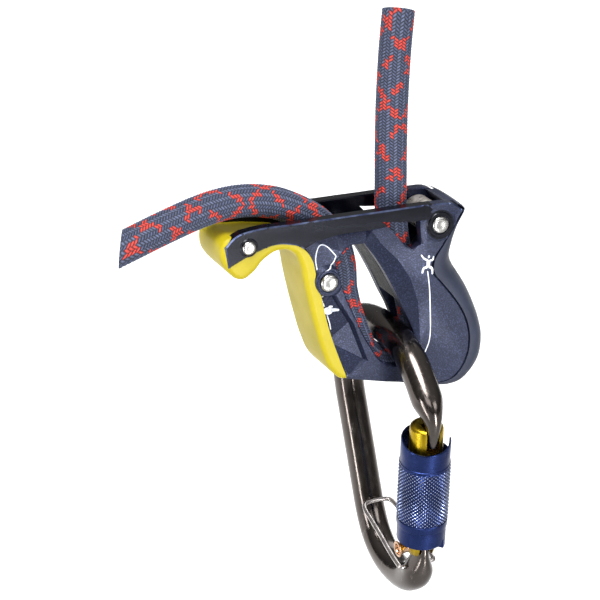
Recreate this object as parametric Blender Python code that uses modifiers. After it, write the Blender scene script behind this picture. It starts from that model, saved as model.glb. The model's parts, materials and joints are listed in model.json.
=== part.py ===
"""Assisted-braking belay device, hanging on a climbing rope, with its locking pear carabiner clipped in.

The origin is the middle of the brake roller. +Z is up, the thumb hook points to -X, and the side plates
are parallel to the XZ plane. Outlines are in millimetres in that plane; objects are built in metres.
"""

import math

import bmesh
import bpy
from mathutils import Matrix, Vector

MM = 0.001
GAP = 0.3

# Rope and the channel that it runs in
ROPE_D = 10.2
CHANNEL = 14.0
PLATE_T = 4.0
INNER_Y = CHANNEL / 2
OUTER_Y = INNER_Y + PLATE_T
FILL_Y = INNER_Y - GAP

# Fixed pins through the plates
PIN_R = 2.2
PIN_HEAD_R = 3.0
ROLLER_AT = (0.0, 0.0)
CENTRE_PIN_AT = (-38.4, -14.3)
THUMB_PIN_AT = (-65.2, 0.6)
ROLLER_R = 5.0
BUSH_R = 3.2

# Carabiner: its top bar lies in the slots, and its plane leans about the bar
STOCK_R = 5.0
BAR_AT = (-13.4, -37.0)
LEAN_DEG = -3.0
WRAP_R = ROPE_D / 2 + STOCK_R + 0.3
GATE_PIVOT = (-21.5, -68.6)
GATE_TIP = (-29.6, -22.4)
KEEPER_PIVOT = (-18.2, -77.4)
TANG_T = 4.4
GATE_R = 5.5
SLEEVE_R = 8.4
SLEEVE_BORE_R = 7.5
SLEEVE_START = 2.9
SLEEVE_END = 39.6
KEEPER_R = 0.75

ROPE_STEP = 3.6

CORNER = "VECTOR"
ROUND = "AUTO"

PLATE_OUTLINE = [
    (-73.0, 1.4, CORNER), (-69.4, 4.6, ROUND), (-64.0, 6.0, ROUND), (-50.0, 6.4, ROUND),
    (-20.0, 6.9, ROUND), (-2.0, 7.0, ROUND), (4.6, 6.4, ROUND), (8.4, 3.6, CORNER),
    (0.8, -8.2, ROUND), (-1.9, -12.6, ROUND), (-1.6, -16.2, ROUND), (1.1, -19.7, ROUND),
    (4.6, -24.1, ROUND), (8.1, -29.1, ROUND), (10.6, -34.6, ROUND), (11.7, -41.0, ROUND),
    (10.6, -47.4, ROUND), (7.2, -52.6, ROUND), (2.6, -54.5, ROUND), (-15.1, -51.8, CORNER),
    (-31.6, -48.1, CORNER), (-36.6, -34.8, ROUND), (-38.9, -27.1, ROUND), (-40.8, -18.6, CORNER),
    (-42.9, -14.6, ROUND), (-42.6, -11.0, CORNER), (-44.0, -6.0, ROUND), (-47.4, -1.8, ROUND),
    (-51.8, -0.2, ROUND), (-56.4, 0.2, ROUND), (-62.0, -1.2, ROUND), (-66.7, -3.0, ROUND),
    (-71.8, -5.4, CORNER),
]

SLOT = [
    (-30.9, -3.3, CORNER), (-25.8, -3.3, CORNER), (-21.0, -10.1, ROUND), (-15.9, -19.1, ROUND),
    (-12.4, -26.4, ROUND), (-9.0, -33.4, ROUND), (-7.3, -39.4, ROUND), (-9.4, -44.4, ROUND),
    (-14.0, -46.2, ROUND), (-19.0, -44.2, ROUND), (-23.9, -37.6, ROUND), (-29.4, -26.5, ROUND),
    (-34.2, -14.4, ROUND), (-35.6, -7.6, CORNER),
]

WINDOW = [(-19.9, 3.2, CORNER), (-6.9, 1.9, CORNER), (-6.1, -5.9, CORNER), (-9.0, -7.6, CORNER), (-11.2, -6.0, CORNER)]

HANDLE_OUTLINE = [
    (-72.6, 3.4, ROUND), (-66.0, 3.6, ROUND), (-57.0, 2.6, ROUND), (-49.5, 0.6, ROUND), (-45.2, -3.4, ROUND),
    (-43.2, -9.0, ROUND), (-42.4, -14.3, ROUND), (-40.4, -20.0, CORNER), (-36.6, -22.0, ROUND),
    (-34.6, -28.5, ROUND), (-32.4, -35.0, ROUND), (-30.0, -40.5, ROUND), (-28.6, -46.8, CORNER),
    (-32.4, -48.3, ROUND), (-36.4, -45.4, ROUND), (-39.8, -38.4, ROUND), (-42.2, -30.5, ROUND),
    (-44.4, -22.0, ROUND), (-46.2, -14.0, ROUND), (-47.4, -8.0, ROUND), (-49.6, -3.6, ROUND),
    (-54.0, -2.0, ROUND), (-59.4, -4.4, ROUND), (-63.6, -9.4, ROUND), (-67.4, -11.4, ROUND),
    (-71.6, -7.8, ROUND), (-74.4, -1.0, ROUND),
]

BRAKE_INSERT_OUTLINE = [
    (-25.2, -3.6, CORNER), (-20.6, -10.1, ROUND), (-15.5, -19.1, ROUND), (-12.6, -25.0, CORNER),
    (-12.0, -24.6, CORNER), (-14.4, -16.8, ROUND), (-17.2, -8.6, ROUND), (-18.8, -3.6, CORNER),
]

# The rear spine follows the plates' right edge: each row has the edge's point, how deep the spine reaches
# in between the plates, and how far its rounded back stands proud of them along (x, z).
SPINE_STATIONS = [
    (7.6, 5.0, 1.6, 0.5, 0.5), (8.4, 3.6, 2.2, 0.6, 0.2), (5.2, -1.4, 0.0, 2.4, 0.0), (1.6, -7.0, 0.1, 5.4, 0.0),
    (-1.6, -12.2, 0.2, 8.3, 0.0), (-1.5, -16.4, 0.1, 9.4, 0.6), (1.1, -19.7, 1.6, 9.0, 0.4), (4.6, -24.1, 3.6, 8.4, 0.0),
    (8.1, -29.1, 5.0, 7.6, -1.0), (10.6, -34.6, 6.0, 7.2, -1.6), (11.7, -41.0, 6.4, 7.2, -1.6),
    (10.6, -47.4, 6.6, 6.9, -2.6), (7.2, -52.6, 6.0, 4.8, -4.2), (2.6, -54.5, 4.6, 2.0, -4.6),
]
SPINE_ARC_STEPS = 10

# The rope's route through the device, with the turn round the carabiner's bar made by formula
LIVE_ROUTE = [
    (-10.4, 0.0, 70.0), (-11.6, 0.0, 55.0), (-12.3, 0.0, 40.0), (-12.5, 0.0, 26.0), (-12.4, 0.0, 14.0),
    (-12.2, 0.0, 3.0), (-10.9, 0.0, -8.0), (-8.0, 0.0, -17.5), (-5.3, 0.0, -26.0),
]
WRAP_DEG = range(20, -161, -20)
BRAKE_ROUTE = [
    (-26.8, 0.0, -31.0), (-29.2, 0.0, -21.5), (-29.9, 0.0, -12.5), (-32.4, 0.0, -4.4), (-37.4, 0.0, 1.8),
    (-44.2, 0.0, 6.6), (-53.5, -0.4, 10.9), (-64.5, -1.2, 12.8), (-76.0, -2.4, 11.9), (-90.0, -4.2, 8.4),
    (-105.0, -6.0, 3.8),
]


def clear_scene():
    for obj in list(bpy.data.objects):
        bpy.data.objects.remove(obj)


def collection(name, hidden=False):
    made = bpy.data.collections.new(name)
    made.hide_render = hidden
    bpy.context.scene.collection.children.link(made)
    return made


def material(name, colour, roughness, metallic):
    made = bpy.data.materials.new(name)
    made.use_nodes = True
    shader = made.node_tree.nodes["Principled BSDF"]
    shader.inputs["Base Color"].default_value = (*colour, 1.0)
    shader.inputs["Roughness"].default_value = roughness
    shader.inputs["Metallic"].default_value = metallic
    return made


def finished(obj, surface, group, smooth=True):
    """Gives an object its material and moves it into its collection."""
    for old in list(obj.users_collection):
        old.objects.unlink(obj)
    group.objects.link(obj)
    obj.data.materials.clear()
    obj.data.materials.append(surface)
    if smooth and obj.type == "MESH":
        obj.data.shade_smooth()
        obj.data.set_sharp_from_angle(angle=math.radians(35))
    return obj


def as_mesh(curve):
    """The curve's closed mesh, with its caps welded on, in the curve's place."""
    bpy.context.view_layer.update()
    graph = bpy.context.evaluated_depsgraph_get()
    mesh = bpy.data.meshes.new_from_object(curve.evaluated_get(graph))
    shape = bmesh.new()
    shape.from_mesh(mesh)
    bmesh.ops.remove_doubles(shape, verts=shape.verts, dist=1e-6)
    bmesh.ops.recalc_face_normals(shape, faces=shape.faces)
    shape.to_mesh(mesh)
    shape.free()
    made = bpy.data.objects.new(curve.name, mesh)
    bpy.context.scene.collection.objects.link(made)
    made.matrix_world = curve.matrix_world
    name = curve.name
    bpy.data.objects.remove(curve)
    made.name = name
    return made


def circle(centre, radius):
    x, z = centre
    return [(x + radius, z, ROUND), (x, z + radius, ROUND), (x - radius, z, ROUND), (x, z - radius, ROUND)]


def slab(name, loops, low_y, high_y, grow=0.0):
    """A flat piece parallel to the XZ plane: the first loop is its outline and the others are its holes."""
    data = bpy.data.curves.new(name, "CURVE")
    data.dimensions = "2D"
    data.fill_mode = "BOTH"
    data.resolution_u = 5
    data.extrude = (high_y - low_y) / 2 * MM
    data.offset = grow * MM
    for loop in loops:
        spline = data.splines.new("BEZIER")
        spline.bezier_points.add(len(loop) - 1)
        spline.use_cyclic_u = True
        for point, (x, z, kind) in zip(spline.bezier_points, loop):
            point.co = (x * MM, z * MM, 0.0)
            point.handle_left_type = point.handle_right_type = kind
    obj = bpy.data.objects.new(name, data)
    bpy.context.scene.collection.objects.link(obj)
    obj.rotation_euler = (math.radians(90), 0, 0)
    obj.location = (0, (low_y + high_y) / 2 * MM, 0)
    return as_mesh(obj)


def tube(name, points, radius, sides=3, scales=None):
    """A round bar through points in metres; scales thins it point by point."""
    data = bpy.data.curves.new(name, "CURVE")
    data.dimensions = "3D"
    data.bevel_depth = radius * MM
    data.bevel_resolution = sides
    data.use_fill_caps = True
    spline = data.splines.new("POLY")
    spline.points.add(len(points) - 1)
    for index, (point, place) in enumerate(zip(spline.points, points)):
        point.co = (*place, 1.0)
        point.radius = scales[index] if scales else 1.0
    obj = bpy.data.objects.new(name, data)
    bpy.context.scene.collection.objects.link(obj)
    return obj


def turned(name, profile, steps=32):
    """A turned solid about its own Z: the profile's (radius, height) points run top to bottom, in millimetres."""
    mesh = bpy.data.meshes.new(name)
    shape = bmesh.new()
    points = [shape.verts.new((r * MM, 0, z * MM)) for r, z in profile]
    closed = profile[0][0] > 0
    for first, second in zip(points, points[1:] + points[:1] if closed else points[1:]):
        shape.edges.new((first, second))
    shape.to_mesh(mesh)
    shape.free()
    obj = bpy.data.objects.new(name, mesh)
    bpy.context.scene.collection.objects.link(obj)
    screw = obj.modifiers.new("turn", "SCREW")
    screw.steps = screw.render_steps = steps
    screw.use_merge_vertices = True
    screw.merge_threshold = 1e-6
    return obj


def laid_along_y(obj, centre):
    """Turns an object's own Z onto world Y, with its origin on the pin's axis."""
    obj.rotation_euler = (math.radians(-90), 0, 0)
    obj.location = (centre[0] * MM, 0, centre[1] * MM)
    return obj


def cut(obj, cutter, cutters, operation="DIFFERENCE"):
    """Applies a Boolean at build time, and files the cutter away."""
    boolean = obj.modifiers.new("cut", "BOOLEAN")
    boolean.operation = operation
    boolean.solver = "EXACT"
    boolean.object = cutter
    if cutter.users_collection[0] is not cutters:
        for old in list(cutter.users_collection):
            old.objects.unlink(cutter)
        cutters.objects.link(cutter)
    cutter.hide_render = True
    cutter.display_type = "WIRE"
    return obj


def block(name, size, centre):
    """A box of that size in millimetres, in its parent's frame."""
    mesh = bpy.data.meshes.new(name)
    shape = bmesh.new()
    bmesh.ops.create_cube(shape, size=1.0)
    bmesh.ops.scale(shape, vec=[s * MM for s in size], verts=shape.verts)
    bmesh.ops.translate(shape, vec=[c * MM for c in centre], verts=shape.verts)
    shape.to_mesh(mesh)
    shape.free()
    obj = bpy.data.objects.new(name, mesh)
    bpy.context.scene.collection.objects.link(obj)
    return obj


def smooth_route(points, step):
    """Evenly spaced points on a Catmull-Rom curve through the route's points, in millimetres."""
    ends = [points[0] * 2 - points[1], *points, points[-1] * 2 - points[-2]]
    fine = []
    for a, b, c, d in zip(ends, ends[1:], ends[2:], ends[3:]):
        for part in range(12):
            t = part / 12
            fine.append(
                0.5 * (2 * b + (c - a) * t + (2 * a - 5 * b + 4 * c - d) * t**2 + (3 * b - a - 3 * c + d) * t**3)
            )
    fine.append(points[-1])
    spaced, carried = [fine[0]], 0.0
    for first, second in zip(fine, fine[1:]):
        length = (second - first).length
        while carried + length >= step:
            first = first.lerp(second, (step - carried) / length)
            length = (second - first).length
            carried = 0.0
            spaced.append(first)
        carried += length
    return spaced


# ---------------------------------------------------------------- housing


def side_plate(name, low_y, high_y):
    holes = [circle(at, PIN_R + GAP) for at in (ROLLER_AT, CENTRE_PIN_AT, THUMB_PIN_AT)]
    return slab(name, [PLATE_OUTLINE, SLOT, WINDOW, *holes], low_y, high_y)


def spine_section(x, z, depth, proud_x, proud_z):
    """One cross-section of the spine: a tongue between the plates and a rounded back over their edges."""
    front, edge = x - depth, x + GAP
    ring = [Vector((front, FILL_Y, z)), Vector((front, -FILL_Y, z)), Vector((edge, -FILL_Y, z))]
    for step in range(SPINE_ARC_STEPS + 1):
        angle = math.pi * (step / SPINE_ARC_STEPS - 0.5)
        swell = math.cos(angle)
        ring.append(Vector((edge + proud_x * swell, (OUTER_Y - GAP) * math.sin(angle), z + proud_z * swell)))
    ring.append(Vector((edge, FILL_Y, z)))
    return ring


def rear_spine(seats, cutters):
    mesh = bpy.data.meshes.new("rear_spine")
    shape = bmesh.new()
    rings = [[shape.verts.new(p * MM) for p in spine_section(*row)] for row in SPINE_STATIONS]
    for upper, lower in zip(rings, rings[1:]):
        for i in range(len(upper)):
            j = (i + 1) % len(upper)
            shape.faces.new((upper[i], upper[j], lower[j], lower[i]))
    shape.faces.new(rings[0][::-1])
    shape.faces.new(rings[-1])
    bmesh.ops.triangulate(shape, faces=shape.faces)
    bmesh.ops.recalc_face_normals(shape, faces=shape.faces)
    shape.to_mesh(mesh)
    shape.free()
    obj = bpy.data.objects.new("rear_spine", mesh)
    bpy.context.scene.collection.objects.link(obj)
    for seat in seats:
        cut(obj, seat, cutters)
    return obj


def plate_seats():
    """Cutters that leave room for the two side plates, with the gap all round them."""
    spans = ((-OUTER_Y - 2, -FILL_Y), (FILL_Y, OUTER_Y + 2))
    return [slab("plate_seat", [PLATE_OUTLINE], low, high, grow=GAP) for low, high in spans]


def handle_grip(seats, cutters):
    """The moulded handle, cut round the side plates, the bush and the thumb rivet."""
    grip = slab("handle_grip", [HANDLE_OUTLINE, circle(THUMB_PIN_AT, PIN_R + GAP)], -OUTER_Y + 0.4, OUTER_Y - 0.4)
    for seat in seats:
        cut(grip, seat, cutters)
    bush_seat = slab("bush_seat", [circle(CENTRE_PIN_AT, BUSH_R + GAP)], -OUTER_Y, OUTER_Y)
    return cut(grip, bush_seat, cutters)


def headed_pin(name, centre, head_r, head_t):
    """A rivet through both plates with a low domed head on each side."""
    face = OUTER_Y + GAP
    profile = [
        (0, face + head_t), (head_r * 0.75, face + head_t), (head_r, face + head_t * 0.5), (head_r, face),
        (PIN_R, face), (PIN_R, -face), (head_r, -face), (head_r, -face - head_t * 0.5),
        (head_r * 0.75, -face - head_t), (0, -face - head_t),
    ]
    return laid_along_y(turned(name, profile), centre)


def sleeve_on_pin(name, centre, radius):
    """A plain tube between the plates, round one of the pins."""
    half, bore = FILL_Y, PIN_R + GAP
    return laid_along_y(turned(name, [(radius, half), (radius, -half), (bore, -half), (bore, half)]), centre)


# ---------------------------------------------------------------- rope


def rope_route():
    wrap = [
        (BAR_AT[0] + WRAP_R * math.cos(math.radians(a)), 0.0, BAR_AT[1] + WRAP_R * math.sin(math.radians(a)))
        for a in WRAP_DEG
    ]
    return smooth_route([Vector(p) for p in [*LIVE_ROUTE, *wrap, *BRAKE_ROUTE]], ROPE_STEP)


def rope_part(route, start, stop):
    """The route's points from one station to another, ending square to the route with half the gap at each end."""
    ends = []
    for station, sign in ((start, 1), (stop, -1)):
        low, high = max(station - 1, 0), min(station + 1, len(route) - 1)
        along = (route[high] - route[low]).normalized() * sign
        ends.append([route[station] + along * GAP / 2, route[station] + along])
    return [*ends[0], *route[start + 1 : stop], *ends[1][::-1]]


def rope_pieces():
    """The one rope as five solids: both free strands, the turn round the bar, and the two stretches that give."""
    route = rope_route()
    low_x = BAR_AT[0]
    device_top = next(i for i, p in enumerate(route) if p.z < 4)
    wrap_start = next(i for i, p in enumerate(route) if p.z < -31)
    wrap_end = next(i for i, p in enumerate(route) if i > wrap_start + 4 and p.x < low_x and p.z > -41)
    handle_top = next(i for i, p in enumerate(route) if i > wrap_end and p.x < -41)
    names = ["rope_live_strand", "rope_live_inner", "rope_bight", "rope_brake_inner", "rope_brake_strand"]
    stations = [0, device_top, wrap_start, wrap_end, handle_top, len(route) - 1]
    return [
        tube(name, [p * MM for p in rope_part(route, start, stop)], ROPE_D / 2, sides=4)
        for name, start, stop in zip(names, stations, stations[1:])
    ]


# ---------------------------------------------------------------- carabiner, in its own frame


def in_plane(u, v, w=0.0):
    """A point of the carabiner's own frame: u towards the back, v up, w across its plane."""
    return Vector((w, u, v))


def gate_frame():
    """Matrix of the gate's own frame: origin on the hinge, Z along the gate, X across the carabiner's plane."""
    axis = (in_plane(*GATE_TIP) - in_plane(*GATE_PIVOT)).normalized()
    across = Vector((1, 0, 0))
    matrix = Matrix((across, axis.cross(across), axis)).transposed().to_4x4()
    matrix.translation = in_plane(*GATE_PIVOT) * MM
    return matrix


FRAME_LINE = [
    (-32.2, -28.8, 0.36), (-32.9, -25.4, 0.37), (-33.7, -22.2, 0.42), (-33.5, -18.8, 0.74), (-30.0, -14.0, 1.0),
    (-25.0, -8.6, 1.0), (-18.6, -3.8, 1.0), (-9.6, -0.7, 1.0), (0.0, 0.0, 1.0), (9.6, -0.6, 1.0),
    (19.6, -3.2, 1.0), (27.6, -8.8, 1.0), (32.4, -17.0, 1.0), (33.8, -25.4, 1.0), (32.4, -33.6, 1.0),
    (29.0, -44.0, 1.0), (25.3, -55.2, 1.0), (21.8, -66.0, 1.0), (18.8, -74.2, 1.0), (14.4, -81.0, 1.0),
    (7.6, -85.4, 1.0), (-1.0, -86.9, 1.0), (-9.8, -85.8, 1.0), (-16.4, -82.2, 1.0), (-19.6, -77.8, 1.0),
    (-20.6, -74.6, 1.0),
]


def carabiner_frame(cutters):
    line = smooth_route([Vector((u, v, 40 * s)) for u, v, s in FRAME_LINE], 3.0)
    places = [in_plane(p.x, p.y) * MM for p in line]
    bar = as_mesh(tube("carabiner_frame", places, STOCK_R, sides=5, scales=[p.z / 40 for p in line]))
    tang = slab_in_plane("hinge_tang", GATE_PIVOT, 3.6, TANG_T)
    cut(bar, tang, cutters, "UNION")
    rivet_hole = across_plane(turned("rivet_hole", [(0, 12), (2.0, 12), (2.0, -12), (0, -12)], 24), GATE_PIVOT)
    cut(bar, rivet_hole, cutters)
    keeper_hole = across_plane(turned("keeper_hole", [(0, 12), (1.1, 12), (1.1, -12), (0, -12)], 16), KEEPER_PIVOT)
    return cut(bar, keeper_hole, cutters)


def slab_in_plane(name, centre, radius, thickness):
    """A round-ended cheek across the carabiner's plane that reaches down from the hinge into the frame."""
    u, v = centre
    shape = bmesh.new()
    bmesh.ops.create_cone(
        shape, cap_ends=True, segments=28, radius1=radius * MM, radius2=radius * MM, depth=thickness * MM,
        matrix=Matrix.Translation(in_plane(u, v) * MM) @ Matrix.Rotation(math.radians(90), 4, "Y"),
    )
    lower = [vert for vert in shape.verts if vert.co.z < v * MM]
    bmesh.ops.translate(shape, vec=in_plane(2.2, -6.0) * MM, verts=lower)
    mesh = bpy.data.meshes.new(name)
    shape.to_mesh(mesh)
    shape.free()
    obj = bpy.data.objects.new(name, mesh)
    bpy.context.scene.collection.objects.link(obj)
    return obj


def across_plane(obj, centre):
    """Turns an object's own Z onto the carabiner plane's normal, with its origin at that point."""
    obj.rotation_euler = (0, math.radians(90), 0)
    obj.location = in_plane(*centre) * MM
    return obj


def gate_body(cutters):
    """The gate: a round bar with a nose slot at its top, a bore for its spring and a fork round the tang."""
    length = (in_plane(*GATE_TIP) - in_plane(*GATE_PIVOT)).length
    profile = [
        (0, length), (GATE_R - 1.2, length), (GATE_R, length - 1.2), (GATE_R, 3.0), (GATE_R - 1.0, -2.4),
        (0, -2.4),
    ]
    body = turned("gate_body", profile, 36)
    cut(body, block("nose_slot", (4.4, 11.0, 10.0), (0, -4.8, length - 3.3)), cutters)
    cut(body, block("tang_slot", (TANG_T + 2 * GAP, 16.0, 11.0), (0, 0, 0)), cutters)
    cut(body, turned("spring_bore", [(0, 21), (2.1, 21), (2.1, 0), (0, 0)], 20), cutters)
    rivet_bore = turned("gate_rivet_bore", [(0, 12), (2.0, 12), (2.0, -12), (0, -12)], 24)
    rivet_bore.rotation_euler = (0, math.radians(90), 0)
    cut(body, rivet_bore, cutters)
    groove = turned("ring_groove", [(GATE_R + 1, 34.6), (GATE_R + 1, 33.0), (GATE_R - 0.8, 33.0), (GATE_R - 0.8, 34.6)])
    cut(body, groove, cutters)
    neck = turned("neck_cutter", [(GATE_R + 1, 30.0), (GATE_R + 1, 12.0), (GATE_R - 1.4, 12.0), (GATE_R - 1.4, 30.0)])
    return cut(body, neck, cutters)


def lock_sleeve(cutters):
    """The twist sleeve: a thin collar at each end, a thicker gripped middle, and a rim cut away at the back."""
    r, bore = SLEEVE_R, SLEEVE_BORE_R
    profile = [
        (r - 0.3, SLEEVE_END), (r - 0.3, SLEEVE_END - 7.0), (r, SLEEVE_END - 7.4), (r, SLEEVE_START + 6.4),
        (r - 0.4, SLEEVE_START + 6.0), (r - 0.4, SLEEVE_START), (bore - 1.6, SLEEVE_START),
        (bore - 1.6, SLEEVE_START + 6.0), (bore, SLEEVE_START + 8.0), (bore, SLEEVE_END),
    ]
    sleeve = turned("lock_sleeve", profile, 40)
    rim_cut = block("rim_cutaway", (14.0, 10.0, 12.0), (5.0, 6.6, SLEEVE_END + 2.4))
    cut(sleeve, rim_cut, cutters)
    return cut(sleeve, block("foot_notch", (6.0, 5.0, 3.0), (7.0, -5.4, SLEEVE_START)), cutters)


def helix(name, radius, low, high, turns, wire_r):
    """A coil spring about its own Z, as one bar along a helix."""
    count = turns * 9
    points = []
    for index in range(count + 1):
        share = index / count
        angle = 2 * math.pi * turns * share
        points.append(
            Vector((radius * math.cos(angle), radius * math.sin(angle), low + (high - low) * share)) * MM
        )
    return tube(name, points, wire_r, sides=2)


def keeper_wire():
    """The wire loop: its two legs start in the frame's side holes and meet in a round end against the spine."""
    start = in_plane(*KEEPER_PIVOT)
    side = STOCK_R + KEEPER_R + 0.5
    half = [
        (0.0, 0.0, STOCK_R - 1.6), (0.0, 0.0, side - 0.4), (1.4, 0.5, side), (8.0, 2.4, side),
        (16.0, 4.7, side - 0.4), (24.0, 7.0, side - 1.0), (28.6, 8.3, side - 1.8), (31.4, 9.0, side - 3.4),
        (32.4, 9.2, 0.0),
    ]
    right = [start + in_plane(u, v, w) for u, v, w in half]
    left = [start + in_plane(u, v, -w) for u, v, w in reversed(half[:-1])]
    line = smooth_route(right + left, 1.9)
    return tube("keeper_wire", [p * MM for p in line], KEEPER_R, sides=2)


def hinge_rivet():
    """The hollow-headed hinge rivet, whose near end stands out past the gate's fork."""
    profile = [
        (0, 6.2), (2.6, 6.2), (2.6, 5.6 + GAP), (1.7, 5.6 + GAP), (1.7, -5.6 - GAP), (2.0, -7.4), (2.7, -8.4), (0, -8.4),
    ]
    return turned("gate_hinge_rivet", profile, 28)


def main():
    clear_scene()
    device = collection("belay_device")
    cutters = collection("cutters", hidden=True)

    navy = material("plate_navy", (0.055, 0.075, 0.16), 0.45, 0.7)
    slate = material("spine_slate", (0.07, 0.08, 0.11), 0.5, 0.3)
    yellow = material("handle_yellow", (0.78, 0.68, 0.03), 0.5, 0.0)
    steel = material("pin_steel", (0.72, 0.71, 0.69), 0.3, 1.0)
    roller = material("roller_steel", (0.42, 0.38, 0.35), 0.35, 1.0)
    black = material("insert_black", (0.015, 0.015, 0.018), 0.45, 0.5)
    sheath = material("rope_sheath", (0.07, 0.09, 0.17), 0.85, 0.0)
    gunmetal = material("frame_gunmetal", (0.12, 0.105, 0.095), 0.22, 1.0)
    gold = material("gate_gold", (0.55, 0.42, 0.05), 0.3, 1.0)
    blue = material("sleeve_blue", (0.02, 0.06, 0.28), 0.3, 0.9)
    bronze = material("rivet_bronze", (0.72, 0.52, 0.36), 0.3, 1.0)
    wire = material("wire_steel", (0.55, 0.52, 0.51), 0.3, 1.0)

    finished(side_plate("near_side_plate", -OUTER_Y, -INNER_Y), navy, device)
    finished(side_plate("far_side_plate", INNER_Y, OUTER_Y), navy, device)
    seats = plate_seats()
    finished(rear_spine(seats, cutters), slate, device)
    finished(handle_grip(seats, cutters), yellow, device)
    finished(slab("brake_insert", [BRAKE_INSERT_OUTLINE], -FILL_Y, FILL_Y), black, device)
    finished(sleeve_on_pin("brake_roller", ROLLER_AT, ROLLER_R), roller, device)
    finished(headed_pin("roller_pin", ROLLER_AT, PIN_HEAD_R, 0.8), steel, device)
    finished(sleeve_on_pin("centre_bush", CENTRE_PIN_AT, BUSH_R), steel, device)
    finished(headed_pin("centre_pin", CENTRE_PIN_AT, PIN_HEAD_R, 1.4), steel, device)
    finished(headed_pin("thumb_rivet", THUMB_PIN_AT, PIN_HEAD_R - 0.4, 0.9), steel, device)
    for piece in rope_pieces():
        finished(piece, sheath, device)

    swing = bpy.data.objects.new("carabiner_axis", None)
    device.objects.link(swing)
    swing.location = (BAR_AT[0] * MM, 0, BAR_AT[1] * MM)
    swing.rotation_euler = (0, math.radians(LEAN_DEG), 0)
    hinge = bpy.data.objects.new("gate_axis", None)
    device.objects.link(hinge)
    hinge.parent = swing
    hinge.matrix_local = gate_frame()

    before = set(bpy.data.objects)
    finished(carabiner_frame(cutters), gunmetal, device)
    finished(across_plane(hinge_rivet(), GATE_PIVOT), bronze, device)
    finished(keeper_wire(), wire, device)
    for obj in set(bpy.data.objects) - before:
        obj.parent = swing

    before = set(bpy.data.objects)
    finished(gate_body(cutters), gold, device)
    finished(lock_sleeve(cutters), blue, device)
    finished(turned("gate_plunger", [(0, 8.6), (1.7, 8.6), (1.7, 5.4), (1.0, 4.2), (0, 4.2)], 20), steel, device)
    finished(helix("gate_spring", 1.25, 9.4, 20.0, 6, 0.35), wire, device)
    finished(helix("sleeve_spring", 5.2, 13.4, 29.0, 5, 0.5), wire, device)
    ring = [(GATE_R + 1.4, 34.3), (GATE_R + 1.4, 33.3), (GATE_R - 0.4, 33.3), (GATE_R - 0.4, 34.3)]
    finished(turned("sleeve_retaining_ring", ring, 32), steel, device)
    for obj in set(bpy.data.objects) - before:
        obj.parent = hinge


main()
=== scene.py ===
"""Looks for the belay device: a rope, forged side plates, a yellow handle and a locking pear carabiner.

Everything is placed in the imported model's frame: +Z up, origin in the middle of the brake roller, and the
thumb hook towards -X. Outlines and stations below are in millimetres.
"""

import json
from math import cos, hypot, pi, radians, sin

import bmesh
import bpy
import numpy as np
from mathutils import Matrix, Vector
from mathutils.geometry import delaunay_2d_cdt

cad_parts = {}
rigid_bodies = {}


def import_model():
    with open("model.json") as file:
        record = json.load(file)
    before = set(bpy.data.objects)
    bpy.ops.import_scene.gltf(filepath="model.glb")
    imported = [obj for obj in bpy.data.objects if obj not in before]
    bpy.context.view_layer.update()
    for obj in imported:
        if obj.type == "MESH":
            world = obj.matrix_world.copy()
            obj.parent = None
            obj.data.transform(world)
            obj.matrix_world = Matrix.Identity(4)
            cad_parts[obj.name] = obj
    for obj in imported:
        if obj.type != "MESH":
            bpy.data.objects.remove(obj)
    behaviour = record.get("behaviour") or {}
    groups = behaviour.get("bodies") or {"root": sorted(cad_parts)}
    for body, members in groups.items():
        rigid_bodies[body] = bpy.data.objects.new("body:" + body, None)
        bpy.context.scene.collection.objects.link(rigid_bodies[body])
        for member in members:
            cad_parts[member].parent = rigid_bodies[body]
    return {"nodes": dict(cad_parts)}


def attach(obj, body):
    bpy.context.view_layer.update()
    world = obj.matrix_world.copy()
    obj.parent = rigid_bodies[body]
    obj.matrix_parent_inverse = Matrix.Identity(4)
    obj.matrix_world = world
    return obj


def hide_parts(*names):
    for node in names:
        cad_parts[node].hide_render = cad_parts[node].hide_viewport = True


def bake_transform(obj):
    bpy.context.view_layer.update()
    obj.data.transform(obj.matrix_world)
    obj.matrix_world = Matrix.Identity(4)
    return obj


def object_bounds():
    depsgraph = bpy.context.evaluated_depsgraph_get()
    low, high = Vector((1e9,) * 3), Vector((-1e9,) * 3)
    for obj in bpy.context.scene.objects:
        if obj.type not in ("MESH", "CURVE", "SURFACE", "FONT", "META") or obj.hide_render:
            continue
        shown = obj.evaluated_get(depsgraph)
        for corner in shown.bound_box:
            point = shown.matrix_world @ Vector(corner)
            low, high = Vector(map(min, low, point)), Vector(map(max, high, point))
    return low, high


MM = 0.001
for default in list(bpy.data.objects):
    bpy.data.objects.remove(default)
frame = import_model()
cad_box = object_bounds()
scene = bpy.context.scene

# ---- sizes shared with the CAD

# Half-widths across the device: to the plates' outer faces, to their inner faces, and of what fits between them
OUTER_Y, INNER_Y, FILL_Y = 11.0, 7.0, 6.7
ROPE_R = 5.1
ROLLER_AT, CENTRE_PIN_AT, THUMB_PIN_AT = (0.0, 0.0), (-38.4, -14.3), (-65.2, 0.6)
ROLLER_R, PIN_R = 5.0, 2.2
BAR_AT = (-13.4, -37.0)
LEAN = radians(-3.0)
STOCK_R, GAP = 5.0, 0.3
WRAP_R = ROPE_R + STOCK_R + GAP
GATE_PIVOT, GATE_TIP = (-21.5, -68.6), (-29.6, -22.4)
KEEPER_PIVOT = (-18.2, -77.4)
GATE_R, SLEEVE_BORE_R = 5.5, 7.5
SLEEVE_START, SLEEVE_END = 2.9, 39.6
# An outline's points are smooth unless they are marked
CORNER, SMOOTH = "VECTOR", "AUTO"

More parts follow.
